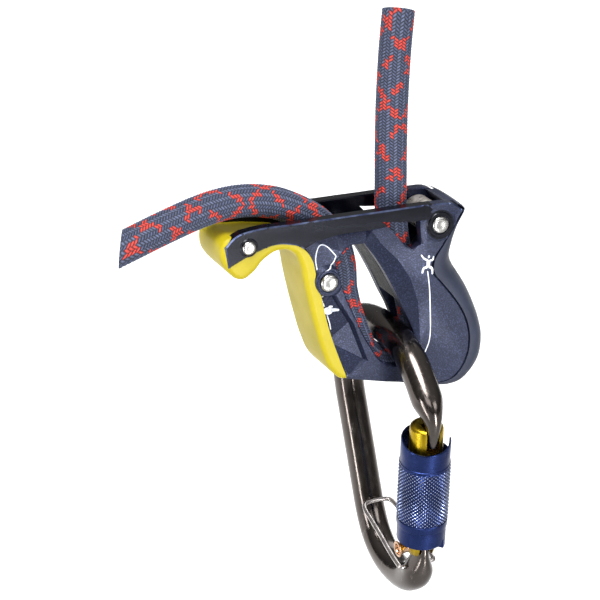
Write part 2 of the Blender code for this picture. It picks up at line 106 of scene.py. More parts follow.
PLATE_OUTLINE = [
    (-73, 1.4, CORNER), (-69.4, 4.6), (-64, 6), (-50, 6.4), (-20, 6.9), (-2, 7), (4.6, 6.4), (8.4, 3.6, CORNER),
    (0.8, -8.2), (-1.9, -12.6), (-1.6, -16.2), (1.1, -19.7), (4.6, -24.1), (8.1, -29.1), (10.6, -34.6),
    (11.7, -41), (10.6, -47.4), (7.2, -52.6), (2.6, -54.5), (-15.1, -51.8, CORNER), (-31.6, -48.1, CORNER),
    (-36.6, -34.8), (-38.9, -27.1), (-40.8, -18.6, CORNER), (-42.9, -14.6), (-42.6, -11, CORNER), (-44, -6),
    (-47.4, -1.8), (-51.8, -0.2), (-56.4, 0.2), (-62, -1.2), (-66.7, -3), (-71.8, -5.4, CORNER),
]
SLOT = [
    (-30.9, -3.3, CORNER), (-25.8, -3.3, CORNER), (-21, -10.1), (-15.9, -19.1), (-12.4, -26.4), (-9, -33.4),
    (-7.3, -39.4), (-9.4, -44.4), (-14, -46.2), (-19, -44.2), (-23.9, -37.6), (-29.4, -26.5), (-34.2, -14.4),
    (-35.6, -7.6, CORNER),
]
WINDOW = [
    (-19.9, 3.2, CORNER), (-6.9, 1.9, CORNER), (-6.1, -5.9, CORNER), (-9, -7.6, CORNER), (-11.2, -6, CORNER),
]
HANDLE_OUTLINE = [
    (-72.6, 3.4), (-66, 3.6), (-57, 2.6), (-48.4, 0.6), (-43, -3), (-40.4, -9), (-39, -14.6), (-37.2, -20.4),
    (-35.4, -25.4), (-33.6, -30.4), (-31.6, -35.6), (-29.8, -40.6), (-28.6, -46.8, CORNER), (-32.4, -48.3),
    (-36.4, -45.4), (-39.8, -38.4), (-42.2, -30.5), (-44.4, -22), (-46.2, -14), (-47.4, -8), (-49.6, -3.6),
    (-54, -2), (-59.4, -4.2), (-63.6, -8.4), (-67.2, -10), (-71.2, -7.4), (-74.2, -1),
]
BRAKE_INSERT = [
    (-25.2, -3.6, CORNER), (-20.6, -10.1), (-15.5, -19.1), (-12.6, -25, CORNER), (-12, -24.6, CORNER),
    (-14.4, -16.8), (-17.2, -8.6), (-18.8, -3.6, CORNER),
]
# The spine: x and z on the plates' rear edge, depth between the plates, and how far it stands out in x and z
SPINE_STATIONS = [
    (5.8, 6.2, 1.2, 0.2, 0.3), (7.6, 5, 1.6, 0.5, 0.5), (8.4, 3.6, 2.2, 0.6, 0.2), (5.2, -1.4, 0, 2.4, 0),
    (1.6, -7, 0.1, 5.4, 0), (-1.6, -12.2, 0.2, 8.3, 0), (-1.5, -16.4, 0.1, 9.4, 0.6), (1.1, -19.7, 1.6, 9, 0.4),
    (4.6, -24.1, 3.6, 8.4, 0), (8.1, -29.1, 5, 7.6, -1), (10.6, -34.6, 6, 7.2, -1.6),
    (11.7, -41, 6.4, 7.2, -1.6), (10.6, -47.4, 6.6, 6.9, -2.6), (7.2, -52.6, 6, 4.4, -3.6),
    (2.9, -54.3, 4.6, 2, -2.9), (-1.2, -54.4, 3.4, 0.4, -1), (-3.4, -54, 2.6, 0.1, 0.1),
]
LIVE_ROUTE = [
    (-10.5, 0, 68.2), (-11.6, 0, 55), (-12.3, 0, 40), (-12.5, 0, 26), (-12.4, 0, 14), (-12.2, 0, 3),
    (-10.9, 0, -8), (-8, 0, -17.5), (-5.3, 0, -26),
]
BRAKE_ROUTE = [
    (-26.8, 0, -31), (-29.2, 0, -21.5), (-29.9, 0, -12.5), (-32.4, 0, -4.4), (-37.4, 0, 1.8), (-44.2, 0, 6.6),
    (-53.5, -0.4, 10.9), (-64.5, -1.2, 12.8), (-76, -2.4, 11.9), (-90, -4.2, 8.4), (-105, -6, 3.8),
]
# The carabiner's stock: u towards the back, v up, then its half-depth in the plane and its half-width across it
FRAME_NOSE = [
    (-32.4, -28.8, 2.3, 1.8), (-33.2, -25, 2.7, 1.9), (-33.9, -21.6, 3.2, 2.3), (-33.5, -18.6, 4.1, 3.2),
    (-32, -15.9, 4.8, 4.3),
]
FRAME_ROUND = [
    (-30, -13.6), (-25, -8.6), (-18.6, -3.8), (-9.6, -0.7), (0, 0), (9.6, -0.6), (19.6, -3.2), (27.6, -8.8),
    (32.4, -17), (33.8, -25.4), (32.4, -33.6), (29, -44), (25.3, -55.2), (21.8, -66), (18.8, -74.2),
    (14.4, -81), (7.6, -85.4), (-1, -86.9), (-9.8, -85.8), (-16.4, -82.2),
]
FRAME_TANG = [
    (-19.4, -78.4, 5, 4.7), (-20.7, -75.2, 4.6, 3.5), (-21.2, -72.4, 4.3, 2.5), (-21.5, -69.6, 4.1, 2.2),
    (-21.5, -66.6, 3.4, 2.1),
]
FRAME_LINE = [*FRAME_NOSE, *[(u, v, STOCK_R, STOCK_R) for u, v in FRAME_ROUND], *FRAME_TANG]

# ---- camera


def linked(name, data):
    """A new object of the scene."""
    obj = bpy.data.objects.new(name, data)
    scene.collection.objects.link(obj)
    return obj


AZIMUTH, ELEVATION, DISTANCE = radians(-22.5), radians(20.0), 0.75
TARGET = Vector((-0.04441, -0.00192, -0.02237))
back = Vector((sin(AZIMUTH) * cos(ELEVATION), -cos(AZIMUTH) * cos(ELEVATION), sin(ELEVATION)))
right = Vector((cos(AZIMUTH), sin(AZIMUTH), 0.0))
camera = linked("camera", bpy.data.cameras.new("camera"))
camera.matrix_world = Matrix.Translation(TARGET + back * DISTANCE) @ Matrix(
    (right, back.cross(right), back)
).transposed().to_4x4()
camera.data.lens = 141.75
camera.data.sensor_width = 36.0
camera.data.clip_start, camera.data.clip_end = 0.05, 20.0
scene.camera = camera

# ---- materials


def linear(r, g, b):
    """A display colour, each channel 0 to 255, in the shader's linear units."""
    return tuple(
        c / 12.92 if c <= 0.04045 else ((c + 0.055) / 1.055) ** 2.4 for c in (r / 255, g / 255, b / 255)
    )


class Surface:
    """A material with short calls for the nodes that give it its detail."""

    def __init__(self, name, colour, roughness, metallic=0.0, **sockets):
        self.material = bpy.data.materials.new(name)
        self.material.use_nodes = True
        self.tree = self.material.node_tree
        self.shader = self.tree.nodes["Principled BSDF"]
        self.shader.inputs["Base Color"].default_value = (*linear(*colour), 1.0)
        self.shader.inputs["Roughness"].default_value = roughness
        self.shader.inputs["Metallic"].default_value = metallic
        for key, value in sockets.items():
            self.shader.inputs[key.replace("_", " ")].default_value = value
        self.place = self.tree.nodes.new("ShaderNodeTexCoord").outputs["Object"]
        self.bumped = None

    def node(self, kind, inputs=None, **settings):
        made = self.tree.nodes.new("ShaderNode" + kind)
        for key, value in settings.items():
            setattr(made, key, value)
        for key, value in (inputs or {}).items():
            if isinstance(value, bpy.types.NodeSocket):
                self.tree.links.new(value, made.inputs[key])
            else:
                made.inputs[key].default_value = value
        return made

    def stretched(self, scale):
        return self.node("Mapping", {"Vector": self.place, "Scale": scale}).outputs["Vector"]

    def noise(self, scale, detail=3.0, vector=None):
        return self.node(
            "TexNoise", {"Vector": vector or self.place, "Scale": scale, "Detail": detail, "Roughness": 0.6}
        ).outputs["Fac"]

    def cells(self, scale):
        return self.node("TexVoronoi", {"Vector": self.place, "Scale": scale}).outputs["Distance"]

    def between(self, value, low, high, to_low=0.0, to_high=1.0):
        return self.node(
            "MapRange",
            {"Value": value, "From Min": low, "From Max": high, "To Min": to_low, "To Max": to_high},
        ).outputs["Result"]

    def mixed(self, share, first, second):
        """A colour between two colours, by share."""
        made = self.node("Mix", data_type="RGBA")
        for socket, value in ((0, share), (6, first), (7, second)):
            if isinstance(value, bpy.types.NodeSocket):
                self.tree.links.new(value, made.inputs[socket])
            elif socket:
                made.inputs[socket].default_value = (*linear(*value), 1.0)
            else:
                made.inputs[socket].default_value = value
        return made.outputs[2]

    def colour(self, socket):
        self.tree.links.new(socket, self.shader.inputs["Base Color"])

    def rough(self, *span):
        self.tree.links.new(self.between(*span), self.shader.inputs["Roughness"])

    def bump(self, height, depth_mm, strength=1.0):
        inputs = {"Height": height, "Distance": depth_mm * MM, "Strength": strength}
        if self.bumped:
            inputs["Normal"] = self.bumped
        self.bumped = self.node("Bump", inputs).outputs["Normal"]
        self.tree.links.new(self.bumped, self.shader.inputs["Normal"])


def blasted_navy():
    """Bead-blasted anodised aluminium: fine lighter specks over a slightly cloudy, very dark blue."""
    s = Surface("plate_blasted_navy", (46, 55, 88), 0.42, 0.45)
    speck = s.between(s.noise(3200, 1.0), 0.5, 0.75)
    cloud = s.noise(90, 4.0)
    base = s.mixed(s.between(cloud, 0.3, 0.7), (15, 20, 41), (21, 27, 50))
    s.colour(s.mixed(speck, base, (56, 65, 98)))
    s.rough(speck, 0.0, 1.0, 0.5, 0.3)
    s.bump(s.noise(2200, 2.0), 0.03, 0.5)
    return s.material


def smooth_navy():
    """The arm's polished face, almost black, with faint handling marks."""
    s = Surface("plate_smooth_navy", (22, 27, 50), 0.24, 0.65, Coat_Weight=0.08, Coat_Roughness=0.2)
    marks = s.noise(55, 8.0, s.stretched((0.35, 1.0, 2.0)))
    s.colour(s.mixed(s.between(marks, 0.35, 0.75), (6, 8, 18), (12, 15, 29)))
    s.rough(marks, 0.3, 0.75, 0.2, 0.36)
    s.bump(s.noise(2600, 1.0), 0.03, 0.4)
    return s.material


def painted_highlight_edge():
    """A chamfer with a painted highlight: a lighter, brighter blue than the face, where the edge would catch the
    light.
    """
    s = Surface("plate_worn_edge", (92, 104, 142), 0.26, 0.9)
    patchy_highlight = s.noise(260, 5.0)
    # Painted highlight: the chamfer's colour runs in patches between two light blues.
    s.colour(s.mixed(s.between(patchy_highlight, 0.4, 0.75), (66, 77, 114), (128, 140, 176)))
    s.bump(s.noise(1400, 2.0), 0.05, 0.5)
    return s.material


def slate_moulding():
    s = Surface("spine_slate_moulding", (58, 64, 82), 0.5, 0.1)
    cloud = s.noise(60, 5.0)
    s.colour(s.mixed(s.between(cloud, 0.3, 0.7), (32, 37, 54), (46, 52, 71)))
    s.rough(s.noise(300, 4.0), 0.3, 0.7, 0.4, 0.58)
    s.bump(s.cells(1700), 0.06, 0.5)
    return s.material


def yellow_moulding():
    """Lemon yellow grip: faint mould texture, greener and duller where hands rub."""
    s = Surface(
        "handle_yellow_moulding", (176, 160, 11), 0.46, 0.0,
        Specular_IOR_Level=0.3, Subsurface_Weight=0.12, Subsurface_Scale=0.002,
    )
    s.shader.inputs["Subsurface Radius"].default_value = (1.0, 0.8, 0.2)
    rub = s.noise(38, 6.0)
    fine = s.noise(900, 2.0)
    base = s.mixed(s.between(rub, 0.35, 0.7), (176, 160, 11), (161, 146, 10))
    s.colour(s.mixed(s.between(fine, 0.55, 0.8, 0.0, 0.35), base, (163, 148, 11)))
    s.rough(rub, 0.3, 0.7, 0.4, 0.55)
    s.bump(s.cells(1300), 0.05, 0.45)
    return s.material


def turned_steel():
    """Bright pin heads: circular turning marks about each pin's own axis, and stray scratches."""
    s = Surface("pin_turned_steel", (205, 204, 202), 0.26, 1.0)
    rings = s.node(
        "TexWave", {"Vector": s.place, "Scale": 620.0, "Distortion": 1.5, "Detail": 2.0, "Detail Scale": 2.0},
        wave_type="RINGS", rings_direction="Z",
    ).outputs["Fac"]
    scratch = s.noise(700, 5.0, s.stretched((1.0, 5.0, 1.0)))
    s.colour(s.mixed(s.between(scratch, 0.55, 0.75), (178, 177, 175), (120, 120, 122)))
    s.rough(scratch, 0.4, 0.7, 0.18, 0.38)
    s.bump(rings, 0.02, 0.35)
    s.bump(scratch, 0.02, 0.3)
    return s.material


def streaked(name, colour, rough, metallic, grain, stretch, tint, shine, bump):
    """Brushed or drawn metal, whose colour, roughness and height all follow one stretched noise."""
    s = Surface(name, colour, rough, metallic)
    streak = s.noise(*grain, s.stretched(stretch) if stretch else None)
    s.colour(s.mixed(s.between(streak, *tint[:2]), *tint[2:]))
    s.rough(streak, *shine)
    s.bump(streak, *bump)
    return s.material


def bright_wire(name, pale, dark):
    return streaked(
        name, pale, 0.24, 1.0, (500, 5.0), None, (0.4, 0.7, pale, dark), (0.3, 0.7, 0.16, 0.34), (0.03, 0.3),
    )


def gunmetal():
    """Polished gunmetal anodising on the carabiner, with hairline scratches along the stock."""
    s = Surface("frame_polished_gunmetal", (92, 86, 82), 0.16, 1.0)
    hair = s.noise(240, 8.0, s.stretched((3.0, 3.0, 0.5)))
    cloud = s.noise(45, 4.0)
    base = s.mixed(s.between(cloud, 0.3, 0.7), (84, 78, 75), (98, 92, 88))
    s.colour(s.mixed(s.between(hair, 0.62, 0.8), base, (130, 124, 119)))
    s.rough(hair, 0.35, 0.75, 0.12, 0.3)
    s.bump(hair, 0.03, 0.25)
    return s.material


def anodised_blue():
    """Blue anodised sleeve; the knurl's tips carry a painted highlight, near white, by a value kept on the mesh."""
    s = Surface("sleeve_anodised_blue", (34, 58, 132), 0.3, 0.9)
    tip = s.node("Attribute", attribute_name="tip").outputs["Fac"]
    cloud = s.noise(120, 4.0)
    base = s.mixed(s.between(cloud, 0.3, 0.7), (27, 40, 84), (36, 50, 98))
    # Painted highlight: the knurl's tips are mixed towards near white.
    s.colour(s.mixed(s.between(tip, 0.45, 0.9), base, (196, 208, 236)))
    s.rough(s.noise(600, 4.0), 0.3, 0.7, 0.22, 0.38)
    s.bump(s.noise(1500, 2.0), 0.03, 0.4)
    return s.material


def black_liner():
    s = Surface("insert_black_liner", (14, 14, 17), 0.34, 0.0)
    s.rough(s.noise(300, 4.0), 0.3, 0.7, 0.28, 0.5)
    s.bump(s.noise(900, 2.0), 0.05, 0.4)
    return s.material


def woven_sheath():
    """The rope's sheath: its stitches' colours, with painted shade in the gaps between stitches, are on the mesh,
    with fibres and a soft sheen on top.
    """
    s = Surface("rope_woven_sheath", (70, 78, 110), 0.72, 0.0, Sheen_Weight=0.06, Sheen_Roughness=0.45)
    stitch = s.node("Attribute", attribute_name="stitch").outputs["Color"]
    fibre = s.noise(2400, 3.0)
    dusk = s.node("Mix", data_type="RGBA", blend_type="MULTIPLY")
    dusk.inputs[0].default_value = 0.55
    s.tree.links.new(stitch, dusk.inputs[6])
    s.tree.links.new(s.mixed(s.between(fibre, 0.3, 0.7), (150, 150, 155), (255, 255, 255)), dusk.inputs[7])
    s.colour(dusk.outputs[2])
    s.rough(fibre, 0.3, 0.7, 0.62, 0.85)
    s.bump(fibre, 0.07, 0.6)
    return s.material


def white_print():
    s = Surface("mark_white_print", (222, 226, 236), 0.55, 0.0)
    print_wear_and_knurl_highlight = s.noise(900, 4.0)
    s.colour(s.mixed(s.between(print_wear_and_knurl_highlight, 0.5, 0.8), (224, 228, 238), (168, 176, 200)))
    return s.material


NAVY, ARM, EDGE = blasted_navy(), smooth_navy(), painted_highlight_edge()
SLATE, YELLOW, BLACK = slate_moulding(), yellow_moulding(), black_liner()
STEEL = turned_steel()
ROLLER = streaked(
    "roller_brushed_steel", (150, 142, 134), 0.34, 0.55, (420, 5.0), (1.0, 0.05, 1.0),
    (0.35, 0.7, (150, 143, 136), (226, 220, 214)), (0.3, 0.7, 0.2, 0.42), (0.08, 0.5),
)
GUNMETAL = gunmetal()
GOLD = streaked(
    "gate_satin_gold", (196, 164, 44), 0.3, 1.0, (700, 4.0), (1.0, 1.0, 0.25),
    (0.4, 0.7, (160, 132, 22), (188, 160, 40)), (0.3, 0.7, 0.24, 0.4), (0.04, 0.35),
)
BLUE, SHEATH, PRINT = anodised_blue(), woven_sheath(), white_print()
BRONZE = bright_wire("rivet_polished_bronze", (216, 178, 146), (170, 128, 98))
WIRE = bright_wire("wire_bright_steel", (190, 184, 182), (138, 132, 130))

# ---- shapes


def placed(obj, body, surface, slot, *nodes, matrix=None, sharp=32.0):
    """Finishes a piece: its material, the body it rides and the CAD nodes it stands for. The slot argument is not
    used.
    """
    if matrix is not None:
        obj.matrix_world = matrix
    if surface is not None:
        obj.data.materials.clear()
        obj.data.materials.append(surface)
    obj.data.shade_smooth()
    obj.data.set_sharp_from_angle(angle=radians(sharp))
    if body:
        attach(obj, body)
    if nodes:
        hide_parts(*nodes)
    return obj


def mesh_object(name, points_mm, faces):
    mesh = bpy.data.meshes.new(name)
    mesh.from_pydata([tuple(p) for p in np.asarray(points_mm, float) * MM], [], faces)
    mesh.validate()
    return linked(name, mesh)


def cleaned(mesh, merge=False, loose=False):
    """The mesh with its faces turned outwards, and close points merged or unused ones deleted first."""
    shape = bmesh.new()
    shape.from_mesh(mesh)
    if merge:
        bmesh.ops.remove_doubles(shape, verts=shape.verts, dist=1e-6)
    if loose:
        bmesh.ops.delete(shape, geom=[v for v in shape.verts if not v.link_faces], context="VERTS")
    bmesh.ops.recalc_face_normals(shape, faces=shape.faces)
    shape.to_mesh(mesh)
    shape.free()


def unit_rows(rows):
    return rows / np.linalg.norm(rows, axis=1)[:, None]


def round_steps(steps):
    return np.linspace(0, 2 * pi, steps, endpoint=False)


def skin(name, rings, closed=False):
    """A surface over rings of equal count; closed joins the last ring to the first, and open ends are capped."""
    rings = np.asarray(rings, float)
    rows, count = rings.shape[:2]
    faces = []
    for i in range(rows if closed else rows - 1):
        low, high = i * count, (i + 1) % rows * count
        for j in range(count):
            k = (j + 1) % count
            faces.append((low + j, low + k, high + k, high + j))
    if not closed:
        faces.append(tuple(range(count))[::-1])
        faces.append(tuple((rows - 1) * count + j for j in range(count)))
    return mesh_object(name, rings.reshape(-1, 3), faces)


def turned(name, profile, steps=72, closed=False):
    """A turned piece about its own Z from (radius, height) points in millimetres."""
    rings = [
        [(max(r, 0.01) * cos(a), max(r, 0.01) * sin(a), z) for a in round_steps(steps)]
        for r, z in profile
    ]
    return skin(name, rings[::-1], closed=closed)


def evaluated_mesh(obj):
    """A mesh of the object's curve or modifiers."""
    bpy.context.view_layer.update()
    return bpy.data.meshes.new_from_object(obj.evaluated_get(bpy.context.evaluated_depsgraph_get()))


def loop_mesh(name, loop, resolution, fill, **settings):
    """A mesh of the smooth closed curve through a loop's points, drawn in XY."""
    data = bpy.data.curves.new(name, "CURVE")
    data.dimensions, data.fill_mode, data.resolution_u = "2D", fill, resolution
    for key, value in settings.items():
        setattr(data, key, value)
    spline = data.splines.new("BEZIER")
    spline.bezier_points.add(len(loop) - 1)
    spline.use_cyclic_u = True
    for point, (x, z, *kind) in zip(spline.bezier_points, loop):
        point.co = (x, z, 0.0)
        point.handle_left_type = point.handle_right_type = kind[0] if kind else SMOOTH
    obj = linked(name, data)
    mesh = evaluated_mesh(obj)
    bpy.data.objects.remove(obj)
    return mesh


def loop_points(loop, resolution):
    """The smooth closed outline through a loop's points, as an array of (x, z)."""
    mesh = loop_mesh("outline", loop, resolution, "NONE")
    points = np.array([v.co[:2] for v in mesh.vertices])
    bpy.data.meshes.remove(mesh)
    keep = np.linalg.norm(points - np.roll(points, 1, 0), axis=1) > 1e-4
    return points[keep]


def rounded_slab(name, loop, low_y, high_y, radius):
    """A flat piece parallel to the XZ plane with rounded edges."""
    mesh = loop_mesh(
        name, loop, 8, "BOTH", extrude=(high_y - low_y) / 2 - radius,
        bevel_depth=radius, bevel_resolution=6, offset=-radius,
    )
    middle = Matrix.Translation((0, (low_y + high_y) / 2, 0))
    mesh.transform(Matrix.Scale(MM, 4) @ middle @ Matrix.Rotation(pi / 2, 4, "X"))
    cleaned(mesh, merge=True)
    return linked(name, mesh)


def smooth_line(points, step):
    """Even rows on a Catmull-Rom curve, spaced by their first three columns, and how far along each one is."""
    points = [np.array(p, float) for p in points]
    ends = [points[0] * 2 - points[1], *points, points[-1] * 2 - points[-2]]
    fine = []
    for a, b, c, d in zip(ends, ends[1:], ends[2:], ends[3:]):
        for t in np.arange(0, 1, 1 / 24):
            bend, twist = 2 * a - 5 * b + 4 * c - d, 3 * b - a - 3 * c + d
            fine.append(0.5 * (2 * b + (c - a) * t + bend * t**2 + twist * t**3))
    fine = np.array([*fine, points[-1]])
    far = np.concatenate([[0], np.cumsum(np.linalg.norm(np.diff(fine[:, :3], axis=0), axis=1))])
    count = max(2, int(round(far[-1] / step)) + 1)
    even = np.linspace(0, far[-1], count)
    return np.stack([np.interp(even, far, fine[:, k]) for k in range(fine.shape[1])], 1), even


def around_line(across, other, angle):
    """Unit directions round each point of a line, from two directions square to it."""
    return np.cos(angle)[None, :, None] * across[:, None] + np.sin(angle)[None, :, None] * other[:, None]


def sweep(name, line, radius, sides):
    """A round bar along a line of points in millimetres."""
    line = np.asarray(line, float)
    along = unit_rows(np.gradient(line, axis=0))
    across = np.zeros_like(line)
    lean = np.cross(along[0], (0.3, 0.5, 0.8))
    for i, t in enumerate(along):
        lean = lean - t * (lean @ t)
        lean /= np.linalg.norm(lean)
        across[i] = lean
    return skin(name, line[:, None] + radius * around_line(across, np.cross(along, across), round_steps(sides)))


def carved(obj, cutters):
    """The object with the cutters' shapes taken out of it."""
    for cutter in cutters:
        tool = obj.modifiers.new("cut", "BOOLEAN")
        tool.solver, tool.object = "EXACT", cutter
    mesh = evaluated_mesh(obj)
    obj.modifiers.clear()
    obj.data = mesh
    for cutter in cutters:
        bpy.data.objects.remove(cutter)
    return obj


def block(size, centre):
    """A box to cut with."""
    floor_signs = ((-1, -1), (1, -1), (1, 1), (-1, 1))
    signs = [(*pair, level) for level in (-1, 1) for pair in floor_signs]
    corners = [[centre[k] + size[k] / 2 * sign[k] for k in range(3)] for sign in signs]
    faces = [(3, 2, 1, 0), (4, 5, 6, 7), (0, 1, 5, 4), (1, 2, 6, 5), (2, 3, 7, 6), (3, 0, 4, 7)]
    return mesh_object("cutter", corners, faces)


# ---- rope

# The sheath has columns of slanted stitches; the mesh has points every step along the rope and so many around it
COLUMNS, STITCH, STITCH_SLANT = 24, 1.0, 0.42
ROPE_STEP, AROUND = 0.17, 144
VALLEY, CROWN = 0.28, 0.38
# The coral yarns: their helices' lead and width, then each one's hand, start and beat
TRACER_LEAD, TRACER_HALF = 40.0, 0.034
TRACERS = ((1, 0.02, 0), (1, 0.36, 1), (1, 0.70, 2), (-1, 0.10, 1), (-1, 0.55, 0))
# The yarns' colours, and the painted shade in the gaps between stitches
CORAL, PALE, DEEP, GAP_PAINTED_SHADE = linear(240, 68, 54), linear(96, 106, 138), linear(74, 84, 116), linear(6, 8, 18)
# The two cut faces' outward directions, and the length of rope that leans with them
LIVE_CUT, BRAKE_CUT, CUT_REACH = (0.21, 0.28, 0.94), (-0.92, 0.38, 0.09), 7.0


def braid(s, around):
    """Radius and colour of the sheath: slanted stitches in columns, with coral tracers on crossing helices, and
    painted shade darkening the gaps between stitches.
    """
    place = around * COLUMNS
    column = np.floor(place)
    a = 2 * (place - column) - 1
    odd = column % 2
    row = s / STITCH + 0.5 * odd + STITCH_SLANT * np.where(odd > 0, 1, -1) * a
    stitch = np.floor(row)
    b = 2 * (row - stitch) - 1
    crown = np.clip(1 - np.abs(a) ** 3.5, 0, 1) ** 0.5 * np.clip(1 - np.abs(b) ** 1.7, 0, 1) ** 0.9
    radius = ROPE_R - VALLEY + CROWN * crown
    turn, far = column / COLUMNS, stitch * STITCH / TRACER_LEAD
    coral = np.zeros(np.shape(row), bool)
    for sign, offset, beat in TRACERS:
        away = np.abs((turn + sign * far + offset + 0.5) % 1.0 - 0.5)
        coral |= (away < TRACER_HALF) & ((np.floor(stitch / 2) + beat) % 3 != 0)
    tone = np.where(odd[..., None] > 0, np.array(PALE), np.array(DEEP))
    tone = tone * (0.86 + 0.28 * np.sin(stitch * 2.3 + column * 1.7)[..., None] ** 2)
    tone = np.where(coral[..., None], np.array(CORAL), tone)
    # Painted shade: each stitch's colour fades to near black towards the gaps between stitches.
    share = np.clip(crown * 1.1, 0, 1)[..., None] ** 2.2
    return radius, np.array(GAP_PAINTED_SHADE) * (1 - share) + tone * share


def rope_piece(name, line, far, start, stop):
    """The sheath's surface over one stretch of the rope; the rope's own two ends are cut flat at a slant."""
    points = line[start : stop + 1]
    along = unit_rows(np.gradient(line, axis=0)[start : stop + 1])
    across = unit_rows(np.cross(along, (0.0, 1.0, 0.0)))
    other = np.cross(across, along)
    around = (np.arange(AROUND) + 0.5) / AROUND
    s, turn = np.meshgrid(far[start : stop + 1], around, indexing="ij")
    radius, colour = braid(s, turn)
    rings = points[:, None] + radius[..., None] * around_line(across, other, 2 * pi * around)
    for end, lean in ((0, LIVE_CUT), (-1, BRAKE_CUT)):
        if (start, stop)[end] != (0, len(line) - 1)[end]:
            continue
        face = np.array(lean) / np.linalg.norm(lean)
        slide = (points[end] - rings[end]) @ face / (along[end] @ face)
        reach = np.clip(1 - np.abs(s[:, 0] - s[end, 0]) / CUT_REACH, 0, 1) ** 1.5
        rings += reach[:, None, None] * slide[None, :, None] * along[end]
        rings[end] = points[end] + (rings[end] - points[end]) * 0.95
    obj = skin(name, rings)
    stitch = obj.data.color_attributes.new("stitch", "FLOAT_COLOR", "POINT")
    stitch.data.foreach_set("color", np.concatenate([colour, np.ones((*colour.shape[:2], 1))], 2).ravel())
    obj.data.materials.append(SHEATH)
    obj.data.shade_smooth()
    return obj, points


wrap = [
    (BAR_AT[0] + WRAP_R * cos(radians(a)), 0.0, BAR_AT[1] + WRAP_R * sin(radians(a)))
    for a in range(20, -161, -20)
]
rope_line, rope_far = smooth_line([*LIVE_ROUTE, *wrap, *BRAKE_ROUTE], ROPE_STEP)
# Where the two visible strands start: the height of the live one's and the x of the brake one's inner end
LIVE_END_Z, BRAKE_END_X = 1.8, -43.4
top_cut = int(np.argmax(rope_line[:, 2] < LIVE_END_Z))
side_cut = int(np.argmax((rope_line[:, 0] < BRAKE_END_X) & (rope_far > rope_far[-1] / 2)))
live, live_path = rope_piece("rope_live", rope_line, rope_far, 0, top_cut)
middle, _ = rope_piece("rope_through_device", rope_line, rope_far, top_cut, side_cut)
brake, brake_path = rope_piece("rope_brake", rope_line, rope_far, side_cut, len(rope_line) - 1)
for piece, path, node, lay in (
    (live, live_path[::-1], "rope_live_strand", "taut"), (brake, brake_path, "rope_brake_strand", "loose"),
):
    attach(piece, "housing")
    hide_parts(node)
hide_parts("rope_live_inner", "rope_bight", "rope_brake_inner")
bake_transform(middle)

# ---- side plates

# The relief of a plate's outer face: nodes as (x, z, depth below the arm, times FACET_DEPTH) and the creases
# that join them
RELIEF = {
    "o1": (-82, 16, 0), "o2": (22, 16, 0), "o3": (22, -62, 0.35), "o4": (-46, -62, 0.3), "o5": (-82, -12, 0),
    "a0": (-56, -2.5, 0), "a1": (-46.7, -2.3, 0), "a2": (-42.8, -0.3, 0), "a3": (-34.9, 1.1, 0),
    "a4": (-24.0, 1.2, 0), "a5": (-17.2, 1.7, 0), "a6": (-5.0, 2.2, 0),
    "f1": (-46.2, -3.2, 1.2), "f2": (-42.6, -1.2, 1.3), "f3": (-34.9, 0.2, 1.8), "f4": (-24.6, 0.3, 1.6),
    "tl": (-30.9, -3.3, 0.45), "tr": (-25.8, -3.3, 0.45),
    "c1": (-34.0, -4.9, 0.8), "c2": (-36.8, -10.4, 0.9), "p1": (-43.6, -11.0, 1.0),
    "r0": (-23.2, 0.4, 0.8), "r1": (-19.6, -4.4, 1.2), "r2": (-13.4, -10.9, 1.4), "r3": (-9.0, -17.7, 1.5),
    "r4": (-6.4, -25.9, 1.2), "r5": (-6.0, -33.5, 0.9), "r6": (-5.6, -41.0, 0.5), "r7": (-8.6, -47.6, 0.3),
    "s1": (-21.0, -10.1, 0.3), "s2": (-15.9, -19.1, 0.2), "s3": (-12.4, -26.4, 0.3), "s4": (-9.0, -33.4, 0.4),
    "s5": (-7.3, -39.4, 0.4), "s6": (-9.4, -44.4, 0.3),
    "m1": (-14.4, -2.6, 0.5), "m2": (-6.2, -13.2, 0.4), "m3": (-2.9, -22.0, 0.3), "m4": (-2.4, -33.0, 0.3),
    "w1": (-11.2, -6.0, 0.9), "b2": (-8.4, -8.1, 0.8), "b4": (-4.4, -6.4, 0.3),
    "k0": (-35.6, -19.2, 0.3), "k1": (-29.5, -29.6, 0.3), "k2": (-24.4, -42.9, 0.3), "k3": (-20.4, -46.6, 0.3),
    "h1": (-41.4, -18.4, 1.4), "h2": (-36.5, -19.9, 1.7), "h3": (-30.5, -29.6, 1.7), "h4": (-37.6, -28.6, 1.1),
    "h5": (-25.5, -42.6, 1.5), "h6": (-37.6, -35.2, 2.0), "h8": (-31.2, -46.8, 0.1), "h9": (-34.6, -47.5, 0.3),
}
CREASES = [
    "o1 o2 o3 o4 o5 o1", "a0 a1 a2 a3 a4 a5 a6", "f1 f2 f3 f4", "a1 f1", "a2 f2", "a3 f3", "a4 f4",
    "f4 r0", "a4 r0", "f3 tl tr f4", "f3 c1 c2", "c1 tl", "tr r0", "r0 r1 r2 r3 r4 r5 r6 r7",
    "tr s1 s2 s3 s4 s5 s6", "s2 r3", "s1 r1", "s4 r5", "s6 r7", "r0 a5", "r0 m1", "m1 w1", "w1 r1", "w1 r2",
    "w1 b2", "r2 b2 m2 m3 m4 r6", "b2 b4", "m2 r3", "m3 r4", "m4 r5", "b4 a6", "k0 k1 k2 k3",
    "h1 h2 h3 h4 h1", "h3 h5 h6 h4", "h5 h8 h6", "k0 h2", "k1 h3", "k2 h5", "k2 h8", "h8 h9", "p1 f1", "p1 c2",
]
# Flat rounds about the roller's and the centre pin: middle, radius and depth, then how steeply their sides drop
BOSSES = [(ROLLER_AT, 4.9, 0.0), (CENTRE_PIN_AT, 4.5, 0.15)]
BOSS_SLOPE, BOSS_SIDE, BOSS_STEPS = 1.6, 0.9, 40
CHAMFER, FACET_DEPTH = 0.45, 1.5
# Depths off the relief's triangles, and where two creases cross away from a node
OFF_DEPTH, CROSSING_DEPTH = 0.3, 0.6


